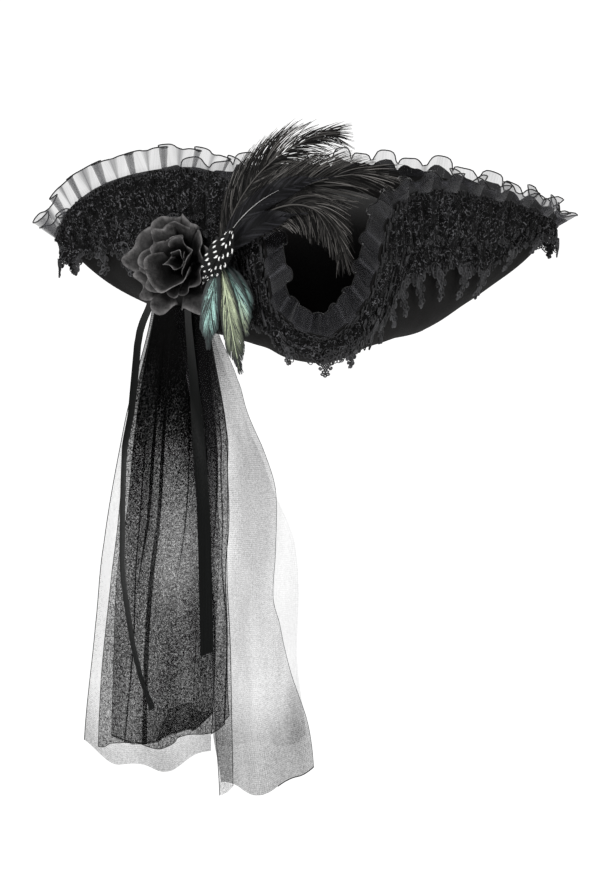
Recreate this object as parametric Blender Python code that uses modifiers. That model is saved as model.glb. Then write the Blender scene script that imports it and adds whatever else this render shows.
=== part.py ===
"""Tricorn hat: a felt brim turned up on three sides, an organza ruffle along its edge, a lace flounce,
a fabric rose, a spray of feathers, and a tulle veil with two satin tails. Metres, +Z up, front at -Y.
The origin is the middle of the head opening, in the plane where crown and brim meet."""

from collections import namedtuple
from math import cos, pi, radians, sin

import bmesh
import bpy
from mathutils import Matrix, Vector
from mathutils.geometry import interpolate_bezier

# Crown
HEAD_HALF = (0.084, 0.099)
CROWN_HEIGHT = 0.105
CROWN_WALL = 0.002
CROWN_FOOT = -0.0015
CROWN_COLUMNS = 34
CROWN_RINGS = 6
CROWN_SQUARENESS = 3.0
SEAM_GAP = 0.0006

# Brim, one row for each main section: angle on the head opening in degrees from the front towards +X,
# the corner that the section bends round, its end at the brim's edge, and how far the ruffle leans in
BrimRow = namedtuple("BrimRow", "head_angle fold rim ruffle_lean")
BRIM_ROWS = (
    BrimRow(0, (0.004, -0.168, -0.018), (0.005, -0.204, 0.017), 50),
    BrimRow(10, (0.030, -0.163, -0.013), (0.033, -0.200, 0.037), 50),
    BrimRow(21, (0.048, -0.152, -0.006), (0.047, -0.184, 0.070), 48),
    BrimRow(34, (0.062, -0.136, -0.001), (0.055, -0.150, 0.101), 35),
    BrimRow(50, (0.080, -0.100, 0.007), (0.073, -0.106, 0.115), 10),
    BrimRow(68, (0.100, -0.058, 0.011), (0.106, -0.062, 0.113), 0),
    BrimRow(86, (0.126, -0.008, 0.016), (0.137, -0.015, 0.102), 0),
    BrimRow(100, (0.150, 0.036, 0.026), (0.170, 0.036, 0.089), 0),
    BrimRow(109, (0.158, 0.060, 0.030), (0.190, 0.068, 0.073), 0),
    BrimRow(119, (0.148, 0.088, 0.027), (0.176, 0.092, 0.077), 0),
    BrimRow(136, (0.112, 0.124, 0.010), (0.122, 0.115, 0.098), 0),
    BrimRow(160, (0.045, 0.142, -0.002), (0.051, 0.127, 0.108), 0),
    BrimRow(182, (-0.008, 0.146, -0.004), (-0.005, 0.131, 0.108), 0),
    BrimRow(204, (-0.066, 0.140, 0.001), (-0.072, 0.126, 0.104), 0),
    BrimRow(224, (-0.124, 0.116, 0.012), (-0.138, 0.109, 0.090), 0),
    BrimRow(240, (-0.154, 0.082, 0.019), (-0.184, 0.082, 0.070), 0),
    BrimRow(251, (-0.160, 0.054, 0.017), (-0.204, 0.055, 0.063), 0),
    BrimRow(260, (-0.150, 0.032, 0.012), (-0.194, 0.028, 0.088), 0),
    BrimRow(275, (-0.128, -0.006, 0.008), (-0.166, -0.004, 0.111), 0),
    BrimRow(292, (-0.104, -0.056, 0.006), (-0.126, -0.042, 0.126), 5),
    BrimRow(308, (-0.083, -0.098, 0.003), (-0.088, -0.082, 0.131), 25),
    BrimRow(324, (-0.066, -0.134, -0.002), (-0.055, -0.130, 0.120), 35),
    BrimRow(338, (-0.050, -0.153, -0.007), (-0.040, -0.176, 0.084), 48),
    BrimRow(350, (-0.026, -0.166, -0.015), (-0.031, -0.198, 0.038), 50),
)
SECTIONS_PER_ROW = 3
BRIM_SPANS = 7
BRIM_FULLNESS = 0.85
BRIM_THICKNESS = 0.002

# Organza ruffle
RUFFLE_WAVES = 46
RUFFLE_STEPS_PER_WAVE = 4
RUFFLE_HEIGHT = 0.018
RUFFLE_SWING = 0.0055
RUFFLE_FOOT_SWING = 0.3
RUFFLE_GAP = 0.0012
RUFFLE_THICKNESS = 0.001

# Lace flounce: drops, motif band, pierced net and pleated band, between reaches of the brim that lie on its
# own spans or midway, so that the lace follows the brim's faces
LACE_THICKNESS = 0.001
LACE_LIFT = 0.0023
LACE_PLEAT = 0.0016
LACE_TOP = 0.985
LACE_REACHES = (4 / 7, 4.5 / 7, 5 / 7, 6 / 7, LACE_TOP)
LACE_DROPS, LACE_MOTIFS, LACE_NET, LACE_BAND = range(4)
LACE_COLUMNS_PER_DROP = 4
LACE_COLUMNS_PER_GAP = 2

# Fabric rose
ROSE_CENTRE = (-0.113, -0.0692, 0.063)
ROSE_FACING = (-0.66, -0.73, 0.15)
ROSE_THICKNESS = 0.001
ROSE_COLUMNS_PER_PETAL = 4
ROSE_RINGS = 3
ROSE_PETAL_EDGE = (0.74, 0.95, 1.0, 0.95)
RoseLayer = namedtuple("RoseLayer", "name petals radius seat cup turn")
ROSE_LAYERS = (
    RoseLayer("rose_outer_petals", 5, 0.040, 0.0, 0.004, 10),
    RoseLayer("rose_middle_petals", 5, 0.031, 0.0016, 0.010, 46),
    RoseLayer("rose_inner_petals", 5, 0.021, 0.0032, 0.015, 20),
    RoseLayer("rose_heart", 3, 0.010, 0.0048, 0.016, 70),
)

# Feather spray: drawn in a plane that leans back with the brim's panel, x across and height up, and set on
# a curved surface whose depth is given for a few places across
SPRAY_LEAN = 8
SprayPlace = namedtuple("SprayPlace", "across depth slope")
SPRAY_PLACES = (
    SprayPlace(-0.120, -0.0605, 0.0),
    SprayPlace(-0.090, -0.1012, 0.0),
    SprayPlace(-0.060, -0.1512, 0.0),
    SprayPlace(-0.043, -0.1854, 0.05),
    SprayPlace(-0.025, -0.204, 0.20),
    SprayPlace(0.010, -0.209, 0.35),
    SprayPlace(0.080, -0.204, 0.35),
)
SPRAY_LEVEL = 0.060
SPRAY_STACKING = (-0.5, -0.86)
SPRAY_LAYER = 0.0021
FEATHER_THICKNESS = 0.001
FEATHER_STEPS = 10
PLUME_LOCKS = 10
PLUME_LOCK_DEPTH = 0.45
PLUME_FOOT, PLUME_FULL, PLUME_SHOULDER, PLUME_TIP = 0.12, 0.31, 0.7, 0.55
BLADE_FOOT, BLADE_FULL, BLADE_SHOULDER, BLADE_POINT = 0.15, 0.45, 0.75, 0.86
Feather = namedtuple("Feather", "name layer half_width start leave arrive end")
OSTRICH_PLUMES = (
    Feather(
        "ostrich_plume_top", 0, 0.02, (-0.074, 0.05), (-0.066, 0.1), (-0.032, 0.138), (0.019, 0.146)
    ),
    Feather(
        "ostrich_plume_long", 1.2, 0.023, (-0.074, 0.05), (-0.05, 0.09), (0, 0.118), (0.056, 0.113)
    ),
    Feather(
        "ostrich_plume_drooping", 2.4, 0.017, (-0.072, 0.052), (-0.035, 0.1), (0.008, 0.104), (0.022, 0.05)
    ),
)
BLADE_FEATHERS = (
    Feather(
        "goose_feather_upper", 3.4, 0.008, (-0.075, 0.049), (-0.066, 0.082), (-0.03, 0.108), (0.011, 0.11)
    ),
    Feather(
        "goose_feather_lower", 4.4, 0.008, (-0.075, 0.048), (-0.062, 0.066), (-0.04, 0.08), (-0.012, 0.082)
    ),
    Feather(
        "coque_feather_short", 5.4, 0.005, (-0.075, 0.0485), (-0.06, 0.034), (-0.054, 0.022), (-0.05, 0.005)
    ),
    Feather(
        "coque_feather_right", 6.4, 0.006, (-0.074, 0.048), (-0.062, 0.03), (-0.056, 0.012), (-0.053, -0.009)
    ),
    Feather(
        "coque_feather_long", 7.4, 0.007, (-0.074, 0.048), (-0.068, 0.02), (-0.064, -0.014), (-0.058, -0.038)
    ),
    Feather(
        "coque_feather_left", 8.4, 0.007, (-0.075, 0.048), (-0.08, 0.026), (-0.083, 0.004), (-0.083, -0.019)
    ),
    Feather(
        "guinea_feather", 9.4, 0.008, (-0.064, 0.072), (-0.07, 0.058), (-0.08, 0.044), (-0.088, 0.028)
    ),
)

# Veil and tails: the outline of each hanging sheet from its top row down, as the height and the two edges
# across, and how far the hem rises to its left and right corner
HangRow = namedtuple("HangRow", "height left right")
HangSheet = namedtuple("HangSheet", "name layer left_rise right_rise rows")
VEIL_SHEETS = (
    HangSheet("veil_under", 0, 0.022, 0.026, (
        HangRow(0.020, -0.128, -0.086),
        HangRow(-0.073, -0.150, -0.078),
        HangRow(-0.176, -0.167, -0.080),
        HangRow(-0.248, -0.174, -0.080),
        HangRow(-0.352, -0.183, -0.082),
    )),
    HangSheet("veil_left", 1, 0.0, 0.030, (
        HangRow(0.020, -0.126, -0.084),
        HangRow(-0.073, -0.145, -0.071),
        HangRow(-0.176, -0.154, -0.070),
        HangRow(-0.248, -0.160, -0.069),
        HangRow(-0.326, -0.176, -0.069),
    )),
    HangSheet("veil_right", 2, 0.0, 0.032, (
        HangRow(0.020, -0.112, -0.080),
        HangRow(-0.032, -0.101, -0.061),
        HangRow(-0.083, -0.090, -0.041),
        HangRow(-0.123, -0.085, -0.028),
        HangRow(-0.180, -0.083, -0.015),
        HangRow(-0.260, -0.082, -0.013),
        HangRow(-0.360, -0.074, -0.002),
    )),
)
TAILS = (
    HangSheet("ribbon_front", 3, 0.0, 0.0, (
        HangRow(0.020, -0.109, -0.099),
        HangRow(-0.065, -0.0995, -0.0895),
        HangRow(-0.160, -0.0925, -0.0825),
        HangRow(-0.247, -0.0895, -0.0795),
    )),
    HangSheet("ribbon_left", 2.2, 0.0, 0.0, (
        HangRow(0.020, -0.131, -0.123),
        HangRow(-0.037, -0.148, -0.140),
        HangRow(-0.150, -0.155, -0.148),
        HangRow(-0.225, -0.151, -0.144),
        HangRow(-0.296, -0.134, -0.127),
    )),
)
HANG_THICKNESS = 0.001
HANG_TOP = 0.020
HANG_EASE = 0.120
HANG_MIDDLE = -0.105
HANG_DEPTHS = (-0.0472, -0.066)
HANG_SLOPES = (-1.89, -0.5)
HANG_LAYERS = (0.0030, 0.0072)
HANG_FOLD = 0.003
HANG_FOLD_WIDTH = 0.036
HANG_ROW_GROWTH = 1.7
VEIL_COLUMNS = 10
VEIL_ROWS = 7
TAIL_ROWS = 12

Look = namedtuple("Look", "colour roughness")
LOOKS = {
    "black_felt": Look((0.012, 0.012, 0.013), 0.9),
    "black_organza": Look((0.05, 0.05, 0.055), 0.5),
    "black_lace": Look((0.01, 0.01, 0.011), 0.85),
    "rose_cloth": Look((0.03, 0.03, 0.032), 0.8),
    "ostrich_barbs": Look((0.012, 0.012, 0.012), 0.8),
    "goose_vane": Look((0.008, 0.008, 0.009), 0.45),
    "coque_vane": Look((0.02, 0.09, 0.075), 0.35),
    "guinea_vane": Look((0.02, 0.02, 0.02), 0.6),
    "black_tulle": Look((0.04, 0.04, 0.045), 0.8),
    "black_satin": Look((0.008, 0.008, 0.009), 0.3),
}


def clear_scene():
    for startup_object in list(bpy.data.objects):
        bpy.data.objects.remove(startup_object)


def make_material(name):
    look = LOOKS[name]
    material = bpy.data.materials.get(name) or bpy.data.materials.new(name)
    material.use_nodes = True
    shader = material.node_tree.nodes["Principled BSDF"]
    shader.inputs["Base Color"].default_value = (*look.colour, 1.0)
    shader.inputs["Roughness"].default_value = look.roughness
    return material


def bent_sheet(hat, name, material, columns, rows, thickness, place, keep=None):
    """A grid of faces whose points are put where place(column, row) says, thickened about its middle.
    keep(column, row) says which faces stay, so that the others are holes."""
    mesh = bpy.data.meshes.new(name)
    sheet = bmesh.new()
    bmesh.ops.create_grid(sheet, x_segments=columns, y_segments=rows, size=0.5)
    if keep:
        holes = []
        for face in sheet.faces:
            middle = face.calc_center_median()
            if not keep(int((middle.x + 0.5) * columns), int((middle.y + 0.5) * rows)):
                holes.append(face)
        bmesh.ops.delete(sheet, geom=holes, context="FACES")
    for vertex in sheet.verts:
        column = (vertex.co.x + 0.5) * columns
        row = (vertex.co.y + 0.5) * rows
        vertex.co = place(column, row)
    bmesh.ops.remove_doubles(sheet, verts=sheet.verts, dist=1e-6)
    sheet.to_mesh(mesh)
    sheet.free()
    mesh.materials.append(make_material(material))
    piece = bpy.data.objects.new(name, mesh)
    wall = piece.modifiers.new("wall", "SOLIDIFY")
    wall.thickness = thickness
    wall.offset = 0.0
    wall.use_even_offset = True
    hat.objects.link(piece)
    return piece


def spline(before, start, end, after, share):
    """Catmull-Rom value between start and end, of numbers or vectors."""
    return 0.5 * (
        2 * start
        + (end - before) * share
        + (2 * before - 5 * start + 4 * end - after) * share**2
        + (3 * start - before - 3 * end + after) * share**3
    )


def table_value(places, values, where):
    """The value at a place, from a table of rising places, as a smooth curve through the values."""
    index = 0
    while index < len(places) - 2 and where > places[index + 1]:
        index += 1
    share = (where - places[index]) / (places[index + 1] - places[index])
    share = min(max(share, 0.0), 1.0)
    before = values[max(index - 1, 0)]
    after = values[min(index + 2, len(values) - 1)]
    return spline(before, values[index], values[index + 1], after, share)


def ease(share):
    share = min(max(share, 0.0), 1.0)
    return share * share * (3 - 2 * share)


# Brim

SECTIONS = SECTIONS_PER_ROW * len(BRIM_ROWS)


def head_point(angle, clearance):
    turn = radians(angle)
    return Vector(((HEAD_HALF[0] + clearance) * sin(turn), -(HEAD_HALF[1] + clearance) * cos(turn), 0.0))


def brim_row(index):
    """A row of the brim's table, counted on past its end for another turn round the head."""
    turns, row = divmod(index, len(BRIM_ROWS))
    found = BRIM_ROWS[row]
    return found.head_angle + 360 * turns, Vector(found.fold), Vector(found.rim), found.ruffle_lean


def brim_section(section):
    """(points from the head opening to the edge, ruffle lean) of one section of the brim's middle surface."""
    row, step = divmod(section, SECTIONS_PER_ROW)
    around = zip(*(brim_row(row + offset) for offset in (-1, 0, 1, 2)))
    angle, fold, rim, lean = (spline(*values, step / SECTIONS_PER_ROW) for values in around)
    head = head_point(angle, CROWN_WALL + SEAM_GAP)
    knots = (head, head.lerp(fold, BRIM_FULLNESS), rim.lerp(fold, BRIM_FULLNESS), rim)
    return interpolate_bezier(*knots, BRIM_SPANS + 1), radians(lean)


def brim_net():
    """The brim's points, the directions that its outer face points in, and the ruffle's lean."""
    found = [brim_section(section) for section in range(SECTIONS)]
    points = [section[0] for section in found]
    facings = []
    for section in range(SECTIONS):
        row = []
        for span in range(BRIM_SPANS + 1):
            along = points[(section + 1) % SECTIONS][span] - points[section - 1][span]
            out = points[section][min(span + 1, BRIM_SPANS)] - points[section][max(span - 1, 0)]
            row.append(along.cross(out).normalized())
        facings.append(row)
    return points, facings, [section[1] for section in found]


BRIM_POINTS, BRIM_FACINGS, RUFFLE_LEANS = brim_net()


def on_brim(net, section, span):
    """The value of one of the brim's nets between its sections and spans."""
    column, across = divmod(section, 1)
    left = net[int(column) % SECTIONS]
    right = net[int(column + 1) % SECTIONS]
    low = min(int(span), BRIM_SPANS - 1)
    up = span - low
    bottom = left[low].lerp(right[low], across)
    top = left[low + 1].lerp(right[low + 1], across)
    return bottom.lerp(top, up)


def above_brim(section, reach, lift):
    """A point over the outer face of the brim: reach 0 at the head opening, 1 at the edge."""
    span = reach * BRIM_SPANS
    return on_brim(BRIM_POINTS, section, span) + lift * on_brim(BRIM_FACINGS, section, span)


def build_brim(hat):
    def place(column, row):
        return BRIM_POINTS[round(column) % SECTIONS][round(row)]

    bent_sheet(hat, "brim", "black_felt", SECTIONS, BRIM_SPANS, BRIM_THICKNESS, place)


def build_crown(hat):
    """A dome whose outline is a rounded square: upright below, with round shoulders."""
    power = 2 / CROWN_SQUARENESS

    def place(column, row):
        climb = pi / 2 * (row / CROWN_RINGS)
        height = CROWN_FOOT + (CROWN_HEIGHT - CROWN_FOOT) * sin(climb) ** power
        width = max(cos(climb), 0.0) ** power if row < CROWN_RINGS else 0.0
        point = head_point(360 * column / CROWN_COLUMNS, CROWN_WALL / 2) * width
        return Vector((point.x, point.y, height))

    bent_sheet(hat, "crown", "black_felt", CROWN_COLUMNS, CROWN_RINGS, CROWN_WALL, place)


# Ruffle and lace

RUFFLE_COLUMNS = RUFFLE_WAVES * RUFFLE_STEPS_PER_WAVE
RUFFLE_ROWS = 2


def build_ruffle(hat):
    def place(column, row):
        section = column * SECTIONS / RUFFLE_COLUMNS
        edge = on_brim(BRIM_POINTS, section, BRIM_SPANS)
        below = on_brim(BRIM_POINTS, section, BRIM_SPANS - 1)
        facing = on_brim(BRIM_FACINGS, section, BRIM_SPANS).normalized()
        start = int(section) % SECTIONS
        after = (start + 1) % SECTIONS
        lean = RUFFLE_LEANS[start] + (RUFFLE_LEANS[after] - RUFFLE_LEANS[start]) * (section % 1)
        up = (edge - below).normalized()
        rise = up * cos(lean) - facing * sin(lean)
        wave = sin(2 * pi * column / RUFFLE_STEPS_PER_WAVE) * RUFFLE_SWING
        if row == 0:
            return edge + up * RUFFLE_GAP + facing * wave * RUFFLE_FOOT_SWING
        across = up * sin(lean) + facing * cos(lean)
        share = row / RUFFLE_ROWS
        swing = RUFFLE_FOOT_SWING + (1 - RUFFLE_FOOT_SWING) * share
        return edge + up * RUFFLE_GAP + rise * RUFFLE_HEIGHT * share + across * wave * swing

    columns = RUFFLE_COLUMNS
    bent_sheet(hat, "organza_ruffle", "black_organza", columns, RUFFLE_ROWS, RUFFLE_THICKNESS, place)


def build_lace(hat):
    """Two columns for each section of the brim: one rises to a pleat, and the other falls from it."""

    def place(column, row):
        lift = LACE_LIFT + (round(column) % 2) * LACE_PLEAT
        return above_brim(column / 2, LACE_REACHES[round(row)], lift)

    def keep(column, row):
        if row == LACE_DROPS:
            return column % LACE_COLUMNS_PER_DROP == 0
        return row != LACE_NET or column % LACE_COLUMNS_PER_GAP == 0

    rows = len(LACE_REACHES) - 1
    bent_sheet(hat, "lace_flounce", "black_lace", 2 * SECTIONS, rows, LACE_THICKNESS, place, keep)


# Rose


def build_rose(hat):
    facing = Vector(ROSE_FACING).normalized()
    turn = facing.to_track_quat("Z", "Y").to_matrix()
    for layer in ROSE_LAYERS:
        columns = layer.petals * ROSE_COLUMNS_PER_PETAL

        def place(column, row):
            angle = 2 * pi * column / columns + radians(layer.turn)
            edge = ROSE_PETAL_EDGE[round(column) % ROSE_COLUMNS_PER_PETAL]
            share = row / ROSE_RINGS
            radius = layer.radius * share * (1 + (edge - 1) * share)
            height = layer.seat + layer.cup * (radius / layer.radius) ** 2
            return Vector(ROSE_CENTRE) + turn @ Vector((radius * cos(angle), radius * sin(angle), height))

        bent_sheet(hat, layer.name, "rose_cloth", columns, ROSE_RINGS, ROSE_THICKNESS, place)


# Feathers


def spray_point(across, height, layer):
    """A place on the spray's surface. Each layer is the same surface, moved along one direction."""
    shift = SPRAY_LAYER * layer
    seat = across - shift * SPRAY_STACKING[0]
    places = [place.across for place in SPRAY_PLACES]
    depth = table_value(places, [place.depth for place in SPRAY_PLACES], seat)
    slope = table_value(places, [place.slope for place in SPRAY_PLACES], seat)
    depth += slope * (height - SPRAY_LEVEL) + shift * SPRAY_STACKING[1]
    return Matrix.Rotation(radians(-SPRAY_LEAN), 3, "X") @ Vector((across, depth, height))


def feather_place(feather, steps, width_at):
    """Where the points of a feather go: along its curved quill, then off to both sides."""
    knots = [Vector((*knot, 0.0)) for knot in (feather.start, feather.leave, feather.arrive, feather.end)]
    quill = interpolate_bezier(*knots, steps + 1)

    def place(column, row):
        step = round(column)
        ahead = quill[min(step + 1, steps)] - quill[max(step - 1, 0)]
        side = Vector((-ahead.y, ahead.x, 0.0)).normalized()
        point = quill[step] + side * ((row - 1) * feather.half_width * width_at(step))
        return spray_point(point.x, point.y, feather.layer)

    return place


def build_plumes(hat):
    """Ostrich plumes: a strip with saw-edged locks of barbs on both sides of the quill."""
    steps = 2 * PLUME_LOCKS

    def width_at(step):
        share = step / steps
        full = PLUME_FOOT + (1 - PLUME_FOOT) * min(share / PLUME_FULL, 1.0)
        full -= (1 - PLUME_TIP) * max(share - PLUME_SHOULDER, 0.0) / (1 - PLUME_SHOULDER)
        return full * (1.0 if step % 2 else PLUME_LOCK_DEPTH)

    for feather in OSTRICH_PLUMES:
        place = feather_place(feather, steps, width_at)
        bent_sheet(hat, feather.name, "ostrich_barbs", steps, 2, FEATHER_THICKNESS, place)


def build_blades(hat):
    """Smooth feathers: narrow at the quill's foot, widest past the middle, round at the tip."""

    def width_at(step):
        share = step / FEATHER_STEPS
        if share > BLADE_SHOULDER:
            return 1 - BLADE_POINT * ((share - BLADE_SHOULDER) / (1 - BLADE_SHOULDER)) ** 2
        return BLADE_FOOT + (1 - BLADE_FOOT) * ease(share / BLADE_FULL)

    for feather in BLADE_FEATHERS:
        kind = feather.name.split("_")[0]
        place = feather_place(feather, FEATHER_STEPS, width_at)
        bent_sheet(hat, feather.name, kind + "_vane", FEATHER_STEPS, 2, FEATHER_THICKNESS, place)


# Veil and tails


def hang_point(across, height, layer):
    """A place on a hanging sheet: along the brim's slanting panel at the top, in soft folds below."""
    loose = ease((HANG_TOP - height) / HANG_EASE)

    def between(ends):
        return ends[0] + (ends[1] - ends[0]) * loose

    flat = between(HANG_DEPTHS) + between(HANG_SLOPES) * (across - HANG_MIDDLE)
    fold = HANG_FOLD * loose * sin(2 * pi * across / HANG_FOLD_WIDTH)
    return Vector((across, flat + fold - layer * between(HANG_LAYERS), height))


def build_hanging(hat, sheets, material, columns, rows):
    for sheet in sheets:
        top = sheet.rows[0].height
        falls = [top - row.height for row in sheet.rows]
        lefts = [row.left for row in sheet.rows]
        rights = [row.right for row in sheet.rows]

        def place(column, row):
            share = column / columns
            fall = falls[-1] * (1 - row / rows) ** HANG_ROW_GROWTH
            left = table_value(falls, lefts, fall)
            right = table_value(falls, rights, fall)
            corner = sheet.left_rise * (1 - share) ** 3 + sheet.right_rise * share**3
            height = top - fall + corner * (fall / falls[-1]) ** 2
            return hang_point(left + (right - left) * share, height, sheet.layer)

        bent_sheet(hat, sheet.name, material, columns, rows, HANG_THICKNESS, place)


def main():
    clear_scene()
    hat = bpy.data.collections.new("tricorn_hat")
    bpy.context.scene.collection.children.link(hat)
    build_crown(hat)
    build_brim(hat)
    build_ruffle(hat)
    build_lace(hat)
    build_rose(hat)
    build_plumes(hat)
    build_blades(hat)
    build_hanging(hat, VEIL_SHEETS, "black_tulle", VEIL_COLUMNS, VEIL_ROWS)
    build_hanging(hat, TAILS, "black_satin", 1, TAIL_ROWS)


main()
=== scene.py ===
"""Dresses the tricorn hat: felt, organza ruffle, gathered lace with corded motifs, cloth rose, feathers made
of single barbs, net veil and satin tails. Metres, +Z up, front at -Y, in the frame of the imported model."""

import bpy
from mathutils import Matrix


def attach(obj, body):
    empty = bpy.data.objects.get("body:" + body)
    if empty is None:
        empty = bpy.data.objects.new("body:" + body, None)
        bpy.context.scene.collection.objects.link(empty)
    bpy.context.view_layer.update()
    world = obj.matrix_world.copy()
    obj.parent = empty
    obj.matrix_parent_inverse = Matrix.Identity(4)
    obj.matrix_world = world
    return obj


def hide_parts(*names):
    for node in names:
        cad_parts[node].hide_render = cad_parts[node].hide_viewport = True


bl_info = {
    "name": "Tricorn Hat",
    "version": (1, 0, 0),
    "blender": (4, 5, 0),
    "location": "3D View > Sidebar > Tricorn Hat",
    "description": "Felt, lace, organza, feathers, a cloth rose and a net veil for a tricorn hat",
    "category": "Add Mesh",
}

from collections import namedtuple
from math import cos, pi, radians, sin

import bpy
import numpy as np
from bpy.props import FloatProperty, FloatVectorProperty, IntProperty, PointerProperty
from mathutils import Matrix, Vector

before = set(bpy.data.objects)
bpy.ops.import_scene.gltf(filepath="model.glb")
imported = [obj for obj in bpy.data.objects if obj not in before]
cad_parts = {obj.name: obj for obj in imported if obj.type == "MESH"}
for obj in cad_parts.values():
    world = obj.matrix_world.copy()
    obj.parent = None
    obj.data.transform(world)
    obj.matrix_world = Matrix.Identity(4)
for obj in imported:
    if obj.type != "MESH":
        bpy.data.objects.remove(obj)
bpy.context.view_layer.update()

# Brim, one row for each main section: angle on the head opening in degrees from the front towards +X,
# the corner that the section bends round, its end at the edge, the ruffle's lean, and the lace's fall
BrimRow = namedtuple("BrimRow", "head_angle fold rim ruffle_lean lace_fall")
BRIM_ROWS = (
    BrimRow(0, (0.004, -0.168, -0.018), (0.005, -0.204, 0.017), 50, 0.024),
    BrimRow(10, (0.030, -0.163, -0.013), (0.033, -0.200, 0.037), 50, 0.036),
    BrimRow(21, (0.048, -0.152, -0.006), (0.047, -0.184, 0.070), 48, 0.070),
    BrimRow(34, (0.062, -0.136, -0.001), (0.055, -0.150, 0.101), 35, 0.080),
    BrimRow(50, (0.080, -0.100, 0.007), (0.073, -0.106, 0.115), 10, 0.086),
    BrimRow(68, (0.100, -0.058, 0.011), (0.106, -0.062, 0.113), 0, 0.082),
    BrimRow(86, (0.126, -0.008, 0.016), (0.137, -0.015, 0.102), 0, 0.078),
    BrimRow(100, (0.150, 0.036, 0.026), (0.170, 0.036, 0.089), 0, 0.044),
    BrimRow(109, (0.158, 0.060, 0.030), (0.190, 0.068, 0.073), 0, 0.020),
    BrimRow(119, (0.148, 0.088, 0.027), (0.176, 0.092, 0.077), 0, 0.036),
    BrimRow(136, (0.112, 0.124, 0.010), (0.122, 0.115, 0.098), 0, 0.070),
    BrimRow(160, (0.045, 0.142, -0.002), (0.051, 0.127, 0.108), 0, 0.082),
    BrimRow(182, (-0.008, 0.146, -0.004), (-0.005, 0.131, 0.108), 0, 0.084),
    BrimRow(204, (-0.066, 0.140, 0.001), (-0.072, 0.126, 0.104), 0, 0.080),
    BrimRow(224, (-0.124, 0.116, 0.012), (-0.138, 0.109, 0.090), 0, 0.066),
    BrimRow(240, (-0.154, 0.082, 0.019), (-0.184, 0.082, 0.070), 0, 0.040),
    BrimRow(251, (-0.160, 0.054, 0.017), (-0.204, 0.055, 0.063), 0, 0.028),
    BrimRow(260, (-0.150, 0.032, 0.012), (-0.194, 0.028, 0.088), 0, 0.054),
    BrimRow(275, (-0.128, -0.006, 0.008), (-0.166, -0.004, 0.111), 0, 0.076),
    BrimRow(292, (-0.104, -0.056, 0.006), (-0.126, -0.042, 0.126), 5, 0.084),
    BrimRow(308, (-0.083, -0.098, 0.003), (-0.088, -0.082, 0.131), 25, 0.086),
    BrimRow(324, (-0.066, -0.134, -0.002), (-0.055, -0.130, 0.120), 35, 0.082),
    BrimRow(338, (-0.050, -0.153, -0.007), (-0.040, -0.176, 0.084), 48, 0.060),
    BrimRow(350, (-0.026, -0.166, -0.015), (-0.031, -0.198, 0.038), 50, 0.032),
)
ROW_COUNT = len(BRIM_ROWS)
LEAN_COLUMN = 7
FALL_COLUMN = 8
ROW_STEPS = 16
REACH_STEPS = 42
BRIM_FULLNESS = 0.85
EDGE_LENGTH = 1.3
UPRIGHT_LEAN = 45
HEAD_HALF = (0.084, 0.099)
CROWN_WALL = 0.002
SEAM_GAP = 0.0006
SEAM_RADIUS = 0.0013
CROWN_HEIGHT = 0.105
CROWN_FOOT = -0.0015
CROWN_SQUARENESS = 3.0

FLAT_PLEATS_MIDDLE = 17.5
FLAT_PLEATS_REACH = 3.2
RIGHT_POINT = 8

LACE_REACH_END = 0.30
LACE_TURN = -0.45
LACE_LENGTH = 0.096
LACE_STEPS = 64
NET_FALL = 0.74
LONG_NET_MIDDLE = 21.6
LINE_STEPS = 13

ROSE_CENTRE = (-0.0995, -0.0825, 0.0580)
ROSE_FACING = (-0.55, -0.78, 0.28)
PETAL_COLUMNS = 36
PETAL_RINGS = 30
RoseLayer = namedtuple("RoseLayer", "piece node petals length opening curl base seat turn spread")
ROSE_LAYERS = (
    RoseLayer("rose_outer_cloth", "rose_outer_petals", 5, 0.039, 64, 48, 0.004, 0.0000, 24, 1.25),
    RoseLayer("rose_middle_cloth", "rose_middle_petals", 4, 0.031, 52, -8, 0.004, 0.0012, 62, 1.40),
    RoseLayer("rose_inner_cloth", "rose_inner_petals", 3, 0.025, 38, -16, 0.005, 0.0022, 20, 1.45),
    RoseLayer("rose_heart_cloth", "rose_heart", 2, 0.014, 12, 10, 0.0035, 0.0032, 75, 1.60),
)

# Feather spray: a plane that leans back with the brim's panel, x across and height up, set on a curved
# surface whose depth and slope are given for a few places across
SPRAY_LEAN = 8
SPRAY_PLACES = (-0.120, -0.090, -0.060, -0.043, -0.025, 0.010, 0.080)
SPRAY_DEPTHS = (-0.0605, -0.1012, -0.1512, -0.1854, -0.204, -0.209, -0.204)
SPRAY_SLOPES = (0.0, 0.0, 0.0, 0.05, 0.20, 0.35, 0.35)
SPRAY_LEVEL = 0.060
SPRAY_STACKING = (-0.5, -0.86)
SPRAY_LAYER = 0.0021
PLUME_LOCK = 5
DOT_ROWS = 9.0
Feather = namedtuple("Feather", "node layer half_width knots")
OSTRICH_PLUMES = (
    Feather("ostrich_plume_top", 0, 0.020, ((-0.074, 0.05), (-0.066, 0.1), (-0.032, 0.138), (0.019, 0.146))),
    Feather("ostrich_plume_long", 1.2, 0.023, ((-0.074, 0.05), (-0.05, 0.09), (0, 0.118), (0.056, 0.113))),
    Feather(
        "ostrich_plume_drooping", 2.4, 0.017, ((-0.072, 0.052), (-0.035, 0.1), (0.008, 0.104), (0.022, 0.05))
    ),
)
GOOSE_FEATHERS = (
    Feather(
        "goose_feather_upper", 3.4, 0.008, ((-0.075, 0.049), (-0.066, 0.082), (-0.03, 0.108), (0.011, 0.11))
    ),
    Feather(
        "goose_feather_lower", 4.4, 0.008, ((-0.075, 0.048), (-0.062, 0.066), (-0.04, 0.08), (-0.012, 0.082))
    ),
)
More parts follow.
